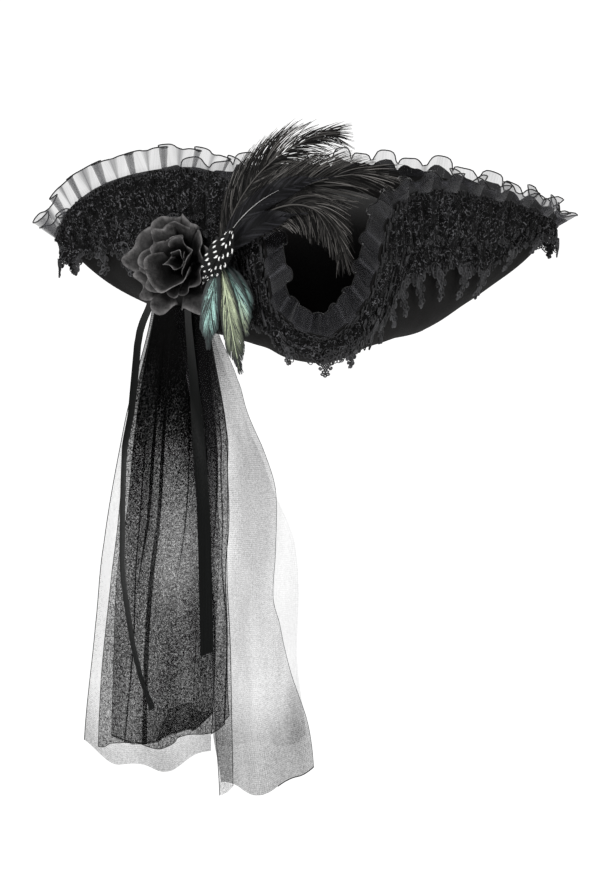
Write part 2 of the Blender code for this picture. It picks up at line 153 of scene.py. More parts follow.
COQUE_FEATHERS = (
    Feather(
        "coque_feather_short", 5.4, 0.005,
        ((-0.075, 0.0485), (-0.06, 0.034), (-0.054, 0.022), (-0.05, 0.005)),
    ),
    Feather(
        "coque_feather_right", 6.4, 0.006,
        ((-0.074, 0.048), (-0.062, 0.03), (-0.056, 0.012), (-0.053, -0.009)),
    ),
    Feather(
        "coque_feather_long", 7.4, 0.007,
        ((-0.074, 0.048), (-0.068, 0.02), (-0.064, -0.014), (-0.058, -0.038)),
    ),
    Feather(
        "coque_feather_left", 8.4, 0.007,
        ((-0.075, 0.048), (-0.08, 0.026), (-0.083, 0.004), (-0.083, -0.019)),
    ),
)
GUINEA_FEATHER = Feather(
    "guinea_feather", 9.4, 0.008, ((-0.064, 0.072), (-0.07, 0.058), (-0.08, 0.044), (-0.088, 0.028))
)

# Hanging sheets: rows of height, left edge and right edge, and how far the hem rises to its corners
HangSheet = namedtuple("HangSheet", "node layer left_rise right_rise rows")
VEIL_UNDER = HangSheet("veil_under", 0, 0.022, 0.026, (
    (0.020, -0.128, -0.086),
    (-0.073, -0.150, -0.078),
    (-0.176, -0.167, -0.080),
    (-0.248, -0.174, -0.080),
    (-0.352, -0.183, -0.082),
))
VEIL_LEFT = HangSheet("veil_left", 1, 0.0, 0.030, (
    (0.020, -0.126, -0.084),
    (-0.0725, -0.147, -0.070),
    (-0.110, -0.1525, -0.069),
    (-0.147, -0.157, -0.068),
    (-0.187, -0.1625, -0.0695),
    (-0.239, -0.167, -0.067),
    (-0.293, -0.172, -0.067),
    (-0.328, -0.1745, -0.067),
))
VEIL_FOLD = HangSheet("veil_left", 1.7, 0.0, 0.029, (
    (0.020, -0.126, -0.088),
    (-0.072, -0.144, -0.076),
    (-0.147, -0.151, -0.074),
    (-0.200, -0.157, -0.076),
    (-0.2545, -0.159, -0.079),
    (-0.322, -0.161, -0.081),
))
VEIL_STRIP = HangSheet("veil_left", 2.3, 0.0, 0.004, (
    (0.020, -0.100, -0.084),
    (-0.072, -0.087, -0.070),
    (-0.187, -0.082, -0.0695),
    (-0.242, -0.081, -0.067),
    (-0.300, -0.079, -0.066),
    (-0.357, -0.0755, -0.065),
))
VEIL_RIGHT = HangSheet("veil_right", 2, 0.006, 0.030, (
    (0.020, -0.112, -0.080),
    (-0.027, -0.102, -0.0611),
    (-0.054, -0.096, -0.0529),
    (-0.084, -0.090, -0.0405),
    (-0.118, -0.086, -0.0308),
    (-0.171, -0.084, -0.0308),
    (-0.211, -0.083, -0.0330),
    (-0.2316, -0.083, -0.0288),
    (-0.273, -0.082, -0.0205),
    (-0.315, -0.081, -0.0070),
    (-0.357, -0.0745, -0.0019),
))
VEIL_FAINT = HangSheet("veil_right", 1.6, 0.0, 0.010, (
    (0.020, -0.110, -0.084),
    (-0.073, -0.095, -0.050),
    (-0.118, -0.090, -0.033),
    (-0.155, -0.087, -0.0174),
    (-0.197, -0.085, -0.0134),
    (-0.255, -0.083, -0.0146),
    (-0.318, -0.080, -0.0079),
))
RIBBON_FRONT = HangSheet("ribbon_front", 3, 0.0, 0.0, (
    (0.020, -0.1030, -0.0976),
    (-0.0414, -0.0987, -0.0912),
    (-0.0805, -0.0966, -0.0867),
    (-0.1307, -0.0931, -0.0828),
    (-0.199, -0.0914, -0.0811),
    (-0.247, -0.0906, -0.0803),
))
RIBBON_LEFT = HangSheet("ribbon_left", 2.2, 0.0, 0.0, (
    (0.020, -0.1328, -0.1272),
    (-0.0020, -0.1408, -0.1347),
    (-0.0150, -0.1438, -0.1375),
    (-0.0645, -0.1492, -0.1410),
    (-0.0885, -0.1547, -0.1449),
    (-0.1467, -0.1568, -0.1467),
    (-0.1866, -0.1568, -0.1467),
    (-0.213, -0.1536, -0.1434),
    (-0.247, -0.1483, -0.1382),
    (-0.2736, -0.1418, -0.1317),
    (-0.295, -0.1338, -0.1237),
))
HANG_TOP = 0.020
HANG_EASE = 0.120
HANG_MIDDLE = -0.105
HANG_DEPTHS = (-0.0472, -0.066)
HANG_SLOPES = (-1.89, -0.5)
HANG_LAYERS = (0.0030, 0.0072)
HANG_FOLD = 0.003
HANG_FOLD_WIDTH = 0.036
HEM_WAVES = 22
HEM_WAVE = 0.003
FLAP_TURN = 0.0022
FLAP_LEAN = 0.15
LOW_EASE = 0.06
TAIL_WIDTH = 0.010

CAMERA_ELEVATION = 8
CAMERA_DISTANCE = 7.0
FRAME_HEIGHT = 0.6952
FRAME_CENTRE = (-0.0126, 0.0, -0.0918)
FLOOR_HEIGHT = -1.6
FLOOR_REACH = 40.0

EDGE_BLACK = (0.008, 0.008, 0.008)
NET_EDGE_BLACK = (0.006, 0.006, 0.006)
COCK_SHADOW = (0.004, 0.006, 0.007)
GUINEA_BLACK = (0.004, 0.004, 0.004)
GUINEA_WHITE = (0.80, 0.80, 0.79)


class HatSizes(bpy.types.PropertyGroup):
    felt_thickness: FloatProperty(
        name="Felt Thickness", description="Thickness of the brim",
        default=0.002, unit="LENGTH", precision=4,
    )
    ruffle_pleats: IntProperty(name="Ruffle Pleats", description="Pleats round the brim", default=40, min=8)
    ruffle_height: FloatProperty(
        name="Ruffle Height", description="Height of the organza over the edge",
        default=0.020, unit="LENGTH",
    )
    ruffle_swing: FloatProperty(
        name="Ruffle Swing", description="How far a pleat swings out and in", default=0.0065, unit="LENGTH"
    )
    ruffle_edge: FloatProperty(
        name="Ruffle Edge", description="Radius of the dark rolled edge", default=0.00055, unit="LENGTH"
    )
    lace_tucks: IntProperty(
        name="Lace Tucks", description="Gathers of the lace round the hat", default=68, min=12
    )
    lace_lift: FloatProperty(
        name="Lace Lift", description="How far the lace stands off the felt", default=0.0023, unit="LENGTH"
    )
    lace_cord: FloatProperty(
        name="Lace Cord", description="Radius of the raised cord in the lace",
        default=0.00050, unit="LENGTH",
    )
    motif_count: IntProperty(
        name="Motifs", description="Hanging lace motifs round the hat", default=36, min=6
    )
    petal_thickness: FloatProperty(
        name="Petal Thickness", description="Thickness of the rose's cloth", default=0.0006, unit="LENGTH"
    )
    plume_barbs: IntProperty(
        name="Plume Barbs", description="Barbs on each side of a plume", default=170, min=20
    )
    vane_barbs: IntProperty(
        name="Vane Barbs", description="Barbs on each side of a smooth feather", default=110, min=20
    )
    veil_fold: FloatProperty(
        name="Veil Fold", description="Depth of the veil's small folds", default=0.0022, unit="LENGTH"
    )


class HatColours(bpy.types.PropertyGroup):
    felt: FloatVectorProperty(
        name="Felt", description="Wool felt of crown and brim", subtype="COLOR",
        default=(0.0062, 0.0060, 0.0059),
    )
    organza: FloatVectorProperty(
        name="Organza", description="Sheer organza of the ruffle", subtype="COLOR",
        default=(0.025, 0.025, 0.028),
    )
    lace: FloatVectorProperty(
        name="Lace", description="Cotton of the lace", default=(0.0036, 0.0036, 0.0038), subtype="COLOR"
    )
    rose: FloatVectorProperty(
        name="Rose", description="Charcoal cloth of the rose", subtype="COLOR",
        default=(0.016, 0.0155, 0.0155),
    )
    ostrich: FloatVectorProperty(
        name="Ostrich", description="Soft brown-black barbs", subtype="COLOR",
        default=(0.0042, 0.0040, 0.0038),
    )
    goose: FloatVectorProperty(
        name="Goose", description="Smooth black vane", default=(0.0040, 0.0040, 0.0046), subtype="COLOR"
    )
    quill: FloatVectorProperty(
        name="Quill", description="Pale quill of the upper goose feather",
        default=(0.75, 0.74, 0.72), subtype="COLOR",
    )
    teal: FloatVectorProperty(
        name="Teal", description="Blue-green of the cock feathers", subtype="COLOR",
        default=(0.20, 0.33, 0.30),
    )
    green: FloatVectorProperty(
        name="Green", description="Green-gold of the cock feathers", subtype="COLOR",
        default=(0.31, 0.355, 0.235),
    )
    tulle: FloatVectorProperty(
        name="Tulle", description="Net of the veil", default=(0.035, 0.034, 0.036), subtype="COLOR"
    )
    satin: FloatVectorProperty(
        name="Satin", description="Satin of the tails", default=(0.0024, 0.0027, 0.0026), subtype="COLOR"
    )


def sizes():
    return bpy.context.scene.tricorn_sizes


def colours():
    return bpy.context.scene.tricorn_colours


# Curves and surfaces


def ease(share):
    share = np.clip(share, 0.0, 1.0)
    return share * share * (3 - 2 * share)


def catmull(before, start, end, after, share):
    return 0.5 * (
        2 * start
        + (end - before) * share
        + (2 * before - 5 * start + 4 * end - after) * share**2
        + (3 * start - before - 3 * end + after) * share**3
    )


def through(places, values, where):
    """Values at the places in where, on a smooth curve through a table of rising places."""
    places = np.asarray(places, float)
    values = np.asarray(values, float)
    index = np.clip(np.searchsorted(places, where, side="right") - 1, 0, len(places) - 2)
    share = np.clip((where - places[index]) / (places[index + 1] - places[index]), 0.0, 1.0)
    before = values[np.maximum(index - 1, 0)]
    after = values[np.minimum(index + 2, len(values) - 1)]
    return catmull(before, values[index], values[index + 1], after, share)


def bezier(knots, share):
    """Points of a Bezier curve. A knot may hold many rows, and share is then tried on every one."""
    rest = 1 - share
    weights = (rest**3, 3 * rest**2 * share, 3 * rest * share**2, share**3)
    return sum(weight[..., None] * knot for weight, knot in zip(weights, knots))


def unit(vectors):
    return vectors / np.maximum(np.linalg.norm(vectors, axis=-1, keepdims=True), 1e-12)


def wander(turn, seed, slow, fast):
    """A smooth value from about -1 to 1 that comes back to itself after one turn."""
    rng = np.random.default_rng(seed)
    total = np.zeros_like(turn)
    for waves in range(slow, fast):
        total = total + np.sin(2 * pi * (waves * turn + rng.random()))
    return total / (fast - slow) ** 0.5 / 1.4


def brim_values():
    """One fine row for each section round the brim: head angle, fold, rim, ruffle lean and lace fall."""
    table = np.array(
        [[row.head_angle, *row.fold, *row.rim, row.ruffle_lean, row.lace_fall] for row in BRIM_ROWS]
    )
    turn = np.zeros(table.shape[1])
    turn[0] = 360
    around = np.vstack([table[-1] - turn, table, table[0] + turn, table[1] + turn])
    share = (np.arange(ROW_STEPS) / ROW_STEPS)[:, None]
    return np.vstack([catmull(*around[row:row + 4], share) for row in range(ROW_COUNT)])


def brim_net(values):
    """Points of the brim's middle surface, section by section from the head opening to the edge, and the
    directions in which its outer face points."""
    turn = np.radians(values[:, 0])
    clear = CROWN_WALL + SEAM_GAP
    across = (HEAD_HALF[0] + clear) * np.sin(turn)
    deep = -(HEAD_HALF[1] + clear) * np.cos(turn)
    head = np.stack([across, deep, np.zeros(len(turn))], axis=1)
    fold = values[:, 1:4]
    rim = values[:, 4:7]
    knots = (head, head + (fold - head) * BRIM_FULLNESS, rim + (fold - rim) * BRIM_FULLNESS, rim)
    reach = np.linspace(0, 1, REACH_STEPS + 1)[None, :]
    points = bezier([knot[:, None, :] for knot in knots], reach)
    along = np.roll(points, -1, axis=0) - np.roll(points, 1, axis=0)
    out = np.gradient(points, axis=1)
    return points, unit(np.cross(along, out))


BRIM_VALUES = brim_values()
BRIM_POINTS, BRIM_FACINGS = brim_net(BRIM_VALUES)


def at_places(where, known, points):
    """Points of a line of points, (steps, 3), at the places in where."""
    return np.stack([np.interp(where, known, points[:, axis]) for axis in range(3)], axis=1)


def lace_net():
    """Points and facings of the lace's path, down from the edge of the brim by true distance. Where the felt
    turns under, the lace leaves it and hangs straight down."""
    reach = np.linspace(1, LACE_REACH_END, 60)
    fall = np.linspace(0, LACE_LENGTH, LACE_STEPS + 1)
    points = []
    facings = []
    for section in range(len(BRIM_POINTS)):
        steps = reach * REACH_STEPS
        index = np.arange(REACH_STEPS + 1)
        path = at_places(steps, index, BRIM_POINTS[section])
        face = at_places(steps, index, BRIM_FACINGS[section])
        turned = np.nonzero(face[:, 2] < LACE_TURN)[0]
        end = max(int(turned[0]) if len(turned) else len(path), 4)
        path = np.vstack([path[:end], path[end - 1] - [0, 0, LACE_LENGTH]])
        face = np.vstack([face[:end], face[end - 1]])
        gone = np.concatenate([[0], np.cumsum(np.linalg.norm(np.diff(path, axis=0), axis=1))])
        points.append(at_places(fall, gone, path))
        facings.append(at_places(fall, gone, face))
    points = np.array(points)
    facings = np.array(facings)
    kernel = (1, 2, 3, 2, 1)
    soft = sum(weight * np.roll(points, shift, axis=0) for weight, shift in zip(kernel, range(-2, 3)))
    return soft / sum(kernel), unit(facings)


LACE_POINTS, LACE_FACINGS = lace_net()


def on_net(net, around, share):
    """A net at places round the hat, counted in rows of the brim, and along its sections, 0 to 1."""
    count, steps = net.shape[0], net.shape[1] - 1
    column = np.mod(np.asarray(around, float) / ROW_COUNT * count, count)
    left = np.floor(column).astype(int) % count
    across = (column - np.floor(column))[..., None]
    right = (left + 1) % count
    row = np.clip(np.asarray(share, float), 0, 1) * steps
    low = np.minimum(row.astype(int), steps - 1)
    up = (row - low)[..., None]
    bottom = net[left, low] * (1 - across) + net[right, low] * across
    top = net[left, low + 1] * (1 - across) + net[right, low + 1] * across
    return bottom * (1 - up) + top * up


def at_section(values, around):
    """One value of each section, such as its lean, at places round the hat."""
    count = len(values)
    column = np.mod(np.asarray(around, float) / ROW_COUNT * count, count)
    left = np.floor(column).astype(int) % count
    share = column - np.floor(column)
    return values[left] * (1 - share) + values[(left + 1) % count] * share


def on_lace(around, fall, lift):
    """A place on the lace: its fall from the edge of the brim, and its lift off the felt."""
    share = np.asarray(fall) / LACE_LENGTH
    return on_net(LACE_POINTS, around, share) + np.asarray(lift)[..., None] * unit(
        on_net(LACE_FACINGS, around, share)
    )


class Stock:
    """Points and four-sided faces that are gathered first and then made into one piece."""

    def __init__(self):
        self.points = []
        self.faces = []
        self.places = []
        self.tones = []
        self.count = 0

    def take(self, points, faces, places, tones):
        points = points.reshape(-1, 3)
        self.points.append(points)
        self.faces.append(faces + self.count)
        self.places.append(np.broadcast_to(places, (len(points), 2)))
        self.tones.append(np.broadcast_to(tones, (len(points),)))
        self.count += len(points)

    def sheet(self, points, places, tones=0.0, closed=False):
        """A sheet through a grid of points, (rows, columns, 3). A closed one joins its last column to its
        first."""
        rows, columns = points.shape[:2]
        across = columns if closed else columns - 1
        row, column = np.meshgrid(np.arange(rows - 1), np.arange(across), indexing="ij")
        after = (column + 1) % columns
        start = row * columns
        above = start + columns
        faces = np.stack([start + column, start + after, above + after, above + column], axis=-1)
        places = np.asarray(places, float).reshape(-1, 2)
        tones = np.asarray(tones, float).reshape(-1) if np.ndim(tones) else tones
        self.take(points, faces.reshape(-1, 4), places, tones)

    def cords(self, paths, radii, facings, tones=0.0, sides=5, closed=False):
        """Round cords along paths, (cords, steps, 3). facings keeps their sides from twisting."""
        count, steps = paths.shape[:2]
        if closed:
            ahead = np.roll(paths, -1, axis=1) - np.roll(paths, 1, axis=1)
        else:
            ahead = np.gradient(paths, axis=1)
        side = unit(np.cross(ahead, facings))
        top = unit(np.cross(side, ahead))
        angle = 2 * pi * np.arange(sides) / sides
        radii = np.broadcast_to(np.asarray(radii, float), (count, steps))[:, :, None, None]
        ring = side[:, :, None, :] * np.cos(angle)[:, None] + top[:, :, None, :] * np.sin(angle)[:, None]
        points = paths[:, :, None, :] + radii * ring
        step_count = steps if closed else steps - 1
        cord, step, turn = np.meshgrid(
            np.arange(count), np.arange(step_count), np.arange(sides), indexing="ij"
        )
        after_step = (step + 1) % steps
        after_turn = (turn + 1) % sides
        start = cord * steps * sides
        faces = np.stack(
            [
                start + step * sides + turn,
                start + step * sides + after_turn,
                start + after_step * sides + after_turn,
                start + after_step * sides + turn,
            ],
            axis=-1,
        )
        gone = np.cumsum(np.linalg.norm(np.diff(paths, axis=1), axis=-1), axis=1)
        length = np.concatenate([np.zeros((count, 1)), gone], axis=1)
        places = np.stack(np.broadcast_arrays(length[:, :, None], angle[None, None, :] / (2 * pi)), axis=-1)
        tones = np.broadcast_to(np.asarray(tones, float), (count, steps))
        tones = np.repeat(tones[:, :, None], sides, axis=2).reshape(-1)
        self.take(points, faces.reshape(-1, 4), places.reshape(-1, 2), tones)

    def barbs(self, paths, widths, sideways, along, tones=0.0):
        """Flat tapered strands along paths, (strands, steps, 3), each as wide as widths says. along is where
        each one leaves its quill."""
        count, steps = paths.shape[:2]
        widths = np.broadcast_to(np.asarray(widths, float), (count, steps))[..., None]
        points = np.stack([paths - sideways * widths / 2, paths + sideways * widths / 2], axis=2)
        strand, step = np.meshgrid(np.arange(count), np.arange(steps - 1), indexing="ij")
        start = (strand * steps + step) * 2
        faces = np.stack([start, start + 1, start + 3, start + 2], axis=-1)
        share = np.linspace(0, 1, steps)[None, :, None] + np.zeros((count, 1, 2))
        places = np.stack(np.broadcast_arrays(along[:, None, None], share), axis=-1)
        tones = np.broadcast_to(np.asarray(tones, float), (count, steps))
        tones = np.repeat(tones[..., None], 2, axis=2).reshape(-1)
        self.take(points, faces.reshape(-1, 4), places.reshape(-1, 2), tones)

    def make(self, name, material, slot, *nodes):
        """One piece of all that was gathered, riding on the hat, in place of the named nodes."""
        mesh = bpy.data.meshes.new(name)
        mesh.from_pydata(np.vstack(self.points), [], np.vstack(self.faces))
        owner = np.empty(len(mesh.loops), dtype=np.int32)
        mesh.loops.foreach_get("vertex_index", owner)
        layer = mesh.uv_layers.new(name="cloth")
        layer.data.foreach_set("uv", np.vstack(self.places)[owner].astype(np.float32).ravel())
        tone = mesh.attributes.new("tone", "FLOAT", "POINT")
        tone.data.foreach_set("value", np.concatenate(self.tones).astype(np.float32))
        mesh.polygons.foreach_set("use_smooth", np.ones(len(mesh.polygons), dtype=bool))
        mesh.materials.append(material)
        piece = bpy.data.objects.new(name, mesh)
        bpy.context.scene.collection.objects.link(piece)
        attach(piece, "root")
        if nodes:
            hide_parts(*nodes)
        return piece


# Materials


class Recipe:
    """A material whose nodes are added and joined by short calls."""

    def __init__(self, name, roughness):
        self.material = bpy.data.materials.new(name)
        self.material.use_nodes = True
        self.tree = self.material.node_tree
        self.shader = self.tree.nodes["Principled BSDF"]
        self.shader.inputs["Roughness"].default_value = roughness

    def put(self, socket, value):
        if isinstance(value, bpy.types.NodeSocket):
            self.tree.links.new(value, socket)
        elif isinstance(value, (int, float)):
            socket.default_value = value
        else:
            socket.default_value = (*value, 1.0)[:len(socket.default_value)]

    def add(self, kind, **settings):
        node = self.tree.nodes.new(kind)
        for setting, value in settings.items():
            setattr(node, setting, value)
        return node

    def math(self, operation, first, second=0.0):
        node = self.add("ShaderNodeMath", operation=operation)
        self.put(node.inputs[0], first)
        self.put(node.inputs[1], second)
        return node.outputs[0]

    def place(self, kind="Object"):
        return self.add("ShaderNodeTexCoord").outputs[kind]

    def tone(self):
        return self.add("ShaderNodeAttribute", attribute_name="tone").outputs["Fac"]

    def stretched(self, place, scale):
        node = self.add("ShaderNodeMapping")
        self.put(node.inputs["Vector"], place)
        node.inputs["Scale"].default_value = scale
        return node.outputs[0]

    def noise(self, place, scale, detail=3.0, roughness=0.5):
        node = self.add("ShaderNodeTexNoise")
        self.put(node.inputs["Vector"], place)
        node.inputs["Scale"].default_value = scale
        node.inputs["Detail"].default_value = detail
        node.inputs["Roughness"].default_value = roughness
        return node.outputs[0]

    def net(self, place, scale, randomness=0.25):
        """Distance to the nearest thread of a net of small cells."""
        node = self.add("ShaderNodeTexVoronoi", feature="DISTANCE_TO_EDGE")
        self.put(node.inputs["Vector"], place)
        node.inputs["Scale"].default_value = scale
        node.inputs["Randomness"].default_value = randomness
        return node.outputs["Distance"]

    def threads(self, place, scale, direction):
        node = self.add("ShaderNodeTexWave", wave_type="BANDS", wave_profile="SIN")
        node.bands_direction = direction
        self.put(node.inputs["Vector"], place)
        node.inputs["Scale"].default_value = scale
        node.inputs["Distortion"].default_value = 0.4
        return node.outputs["Fac"]

    def spread(self, value, low, high, to_low=0.0, to_high=1.0):
        node = self.add("ShaderNodeMapRange", clamp=True)
        self.put(node.inputs["Value"], value)
        sockets = ("From Min", "From Max", "To Min", "To Max")
        for socket, number in zip(sockets, (low, high, to_low, to_high)):
            node.inputs[socket].default_value = number
        return node.outputs[0]

    def mix(self, share, first, second):
        """A colour between two. Inputs 6 and 7 and output 2 are the colour sockets of the Mix node."""
        node = self.add("ShaderNodeMix", data_type="RGBA")
        self.put(node.inputs[0], share)
        self.put(node.inputs[6], first)
        self.put(node.inputs[7], second)
        return node.outputs[2]

    def bump(self, height, depth):
        node = self.add("ShaderNodeBump")
        node.inputs["Strength"].default_value = 1.0
        node.inputs["Distance"].default_value = depth
        self.put(node.inputs["Height"], height)
        self.put(self.shader.inputs["Normal"], node.outputs[0])

    def colour(self, value):
        self.put(self.shader.inputs["Base Color"], value)

    def roughness(self, value):
        self.put(self.shader.inputs["Roughness"], value)

    def alpha(self, value):
        self.put(self.shader.inputs["Alpha"], value)

    def gloss(self, level):
        self.shader.inputs["Specular IOR Level"].default_value = level

    def sheen(self, weight, roughness):
        self.shader.inputs["Sheen Weight"].default_value = weight
        self.shader.inputs["Sheen Roughness"].default_value = roughness


def shade(colour, factor):
    return tuple(min(channel * factor, 1.0) for channel in colour)


def felt_finish():
    recipe = Recipe("black_felt", 0.9)
    base = colours().felt
    place = recipe.place()
    fibres = recipe.noise(place, 900, 4, 0.65)
    patches = recipe.noise(place, 45, 3)
    lint = recipe.spread(recipe.noise(place, 1500, 2), 0.60, 0.76)
    nap = recipe.mix(patches, shade(base, 0.6), shade(base, 1.5))
    recipe.colour(recipe.mix(recipe.math("MULTIPLY", lint, 0.4), nap, shade(base, 3.5)))
    recipe.roughness(recipe.spread(patches, 0.3, 0.7, 0.8, 0.96))
    recipe.bump(fibres, 0.0004)
    recipe.gloss(0.04)
    return recipe.material


def organza_finish():
    """Sheer stiff cloth, denser where it is doubled in its folds; its paler colour there is painted highlight."""
    recipe = Recipe("black_organza", 0.45)
    base = colours().organza
    place = recipe.place("UV")
    weave = recipe.threads(place, 190, "X")
    cloud = recipe.noise(recipe.stretched(place, (160, 20, 1)), 1, 3)
    plain = recipe.mix(weave, shade(base, 0.9), shade(base, 1.15))
    # Where the tone is high the colour goes paler: painted highlight along the folds. The tone also adds to the
    # alpha below, for the doubled cloth.
    recipe.colour(recipe.mix(recipe.spread(recipe.tone(), 0.0, 0.5), plain, shade(base, 2.6)))
    woven = recipe.spread(weave, 0.1, 0.9, 0.28, 0.32)
    cover = recipe.math("ADD", woven, recipe.spread(cloud, 0.3, 0.7, -0.07, 0.09))
    recipe.alpha(recipe.math("ADD", cover, recipe.tone()))
    recipe.roughness(recipe.spread(cloud, 0.3, 0.7, 0.35, 0.55))
    recipe.bump(cloud, 0.0004)
    recipe.gloss(0.25)
    return recipe.material


def cord_finish(name, colour, rough):
    """Twisted thread, for rolled edges, cords and quills."""
    recipe = Recipe(name, rough)
    twist = recipe.threads(recipe.stretched(recipe.place("UV"), (1, 0.004, 1)), 500, "DIAGONAL")
    wear = recipe.noise(recipe.place(), 300, 3)
    recipe.colour(recipe.mix(recipe.math("MULTIPLY", twist, wear), shade(colour, 0.6), shade(colour, 2.0)))
    recipe.roughness(recipe.spread(wear, 0.3, 0.7, max(rough - 0.12, 0.1), min(rough + 0.1, 1.0)))
    recipe.bump(twist, 0.00012)
    recipe.gloss(0.15)
    return recipe.material


def lace_thread_finish(name, dark, light):
    """Cotton cord: the light colour is painted sheen on the black cotton, and each strand's tone lights it to its
    own degree, as painted glints.
    """
    recipe = Recipe(name, 0.7)
    wear = recipe.noise(recipe.place(), 700, 3)
    twist = recipe.threads(recipe.stretched(recipe.place("UV"), (1, 0.004, 1)), 700, "DIAGONAL")
    strand = recipe.mix(recipe.tone(), dark, light)
    recipe.colour(recipe.mix(recipe.spread(wear, 0.4, 0.7, 0, 0.5), strand, shade(light, 1.4)))
    recipe.roughness(recipe.spread(wear, 0.3, 0.7, 0.55, 0.8))
    recipe.bump(recipe.math("ADD", twist, wear), 0.0002)
    recipe.gloss(0.25)
    return recipe.material


def lace_ground_finish():
    """Cotton lace: curly threads over a fine net, with small open places. The threads are coloured lighter than
    the net as painted sheen, and painted shade darkens the grooves of its gathers.
    """
    recipe = Recipe("lace_net", 0.8)
    base = colours().lace
    place = recipe.place()
    cell = recipe.spread(recipe.net(place, 640, 0.35), 0.07, 0.17)
    curls = []
    for scale, width in ((260, 0.085), (420, 0.10)):
        wave = recipe.noise(place, scale, 1, 0.4)
        off = recipe.math("ABSOLUTE", recipe.math("SUBTRACT", wave, 0.5))
        curls.append(recipe.spread(off, width * 0.35, width, 1.0, 0.0))
    clump = recipe.spread(recipe.noise(place, 120, 2), 0.38, 0.60, 0.12, 1.0)
    thread = recipe.math("MULTIPLY", recipe.math("MULTIPLY", *curls), clump)
    fill = recipe.spread(recipe.noise(place, 150, 2), 0.47, 0.57)
    hole = recipe.math("MULTIPLY", cell, recipe.math("MULTIPLY", recipe.math("SUBTRACT", 1.0, thread), fill))
    recipe.alpha(recipe.math("SUBTRACT", 1.0, recipe.math("MULTIPLY", hole, 0.9)))
    # The curly threads are coloured 34 times the lace's own black, as painted sheen on the threads; the net
    # between them stays dark.
    woven = recipe.mix(thread, shade(base, 0.6), shade(base, 34.0))
    # The tone is painted shade in the grooves of the gathers.
    recipe.colour(recipe.mix(recipe.tone(), woven, shade(base, 0.03)))
    recipe.roughness(recipe.spread(thread, 0, 1, 0.9, 0.6))
    recipe.bump(thread, 0.0020)
    recipe.gloss(0.10)
    return recipe.material


def rose_finish():
    """Crumpled cloth with painted shade, dark deep in the rose and in the hollows of its creases, and a painted
    highlight towards each petal's edge.
    """
    recipe = Recipe("rose_cloth", 0.75)
    base = colours().rose
    place = recipe.place("UV")
    object_place = recipe.place()
    warp = recipe.threads(place, 300, "X")
    weft = recipe.threads(place, 300, "Y")
    weave = recipe.math("MULTIPLY", warp, weft)
    crease_and_painted_light = recipe.noise(object_place, 150, 4, 0.65)
    painted_crease_shade = recipe.spread(crease_and_painted_light, 0.34, 0.64, 0.25, 1.0)
    body = recipe.mix(painted_crease_shade, shade(base, 0.05), shade(base, 0.25))
    # Painted shade and highlight: the cloth is darkest where the creases sink and deep in the rose, and the tone
    # lightens it towards each petal's edge.
    recipe.colour(recipe.mix(recipe.math("MULTIPLY", recipe.tone(), painted_crease_shade), body, shade(base, 11.0)))
    recipe.roughness(recipe.spread(crease_and_painted_light, 0.3, 0.7, 0.62, 0.85))
    recipe.bump(recipe.math("ADD", recipe.math("MULTIPLY", weave, 0.12), crease_and_painted_light), 0.0022)
    recipe.gloss(0.08)
    return recipe.material


def barb_finish(name, dark, light, rough, gloss, fleck):
    """Feather barbs: each strand has its own tone between two colours. fleck says how much of the light one
    is scattered over all of them."""
    recipe = Recipe(name, rough)
    place = recipe.place("UV")
    grain = recipe.noise(recipe.stretched(place, (80, 3, 1)), 6, 3)
    strand = recipe.mix(recipe.tone(), dark, light)
    recipe.colour(recipe.mix(recipe.spread(grain, 0.35, 0.75, 0, fleck), strand, light))
    recipe.roughness(recipe.spread(grain, 0.3, 0.7, rough - 0.1, rough + 0.1))
    recipe.bump(grain, 0.0001)
    recipe.gloss(gloss)
    return recipe.material


def iridescent_finish(name, foot, middle, tip):
    """Cock feather: the colour changes from the quill's foot to the tip, and each barb is lit or dark."""
    recipe = Recipe(name, 0.4)
    place = recipe.place("UV")
    along = recipe.add("ShaderNodeSeparateXYZ")
    recipe.put(along.inputs[0], place)
    grain = recipe.noise(recipe.stretched(place, (70, 4, 1)), 5, 3)
    shifted = recipe.math("ADD", along.outputs[0], recipe.spread(grain, 0.3, 0.7, -0.12, 0.12))
    upper = recipe.mix(recipe.spread(shifted, 0.10, 0.42), foot, middle)
    lit = recipe.mix(recipe.spread(shifted, 0.42, 0.80), upper, tip)
    recipe.colour(recipe.mix(recipe.tone(), COCK_SHADOW, lit))
    recipe.roughness(recipe.spread(grain, 0.3, 0.7, 0.3, 0.5))
    recipe.bump(grain, 0.0001)
    recipe.gloss(0.4)
    return recipe.material


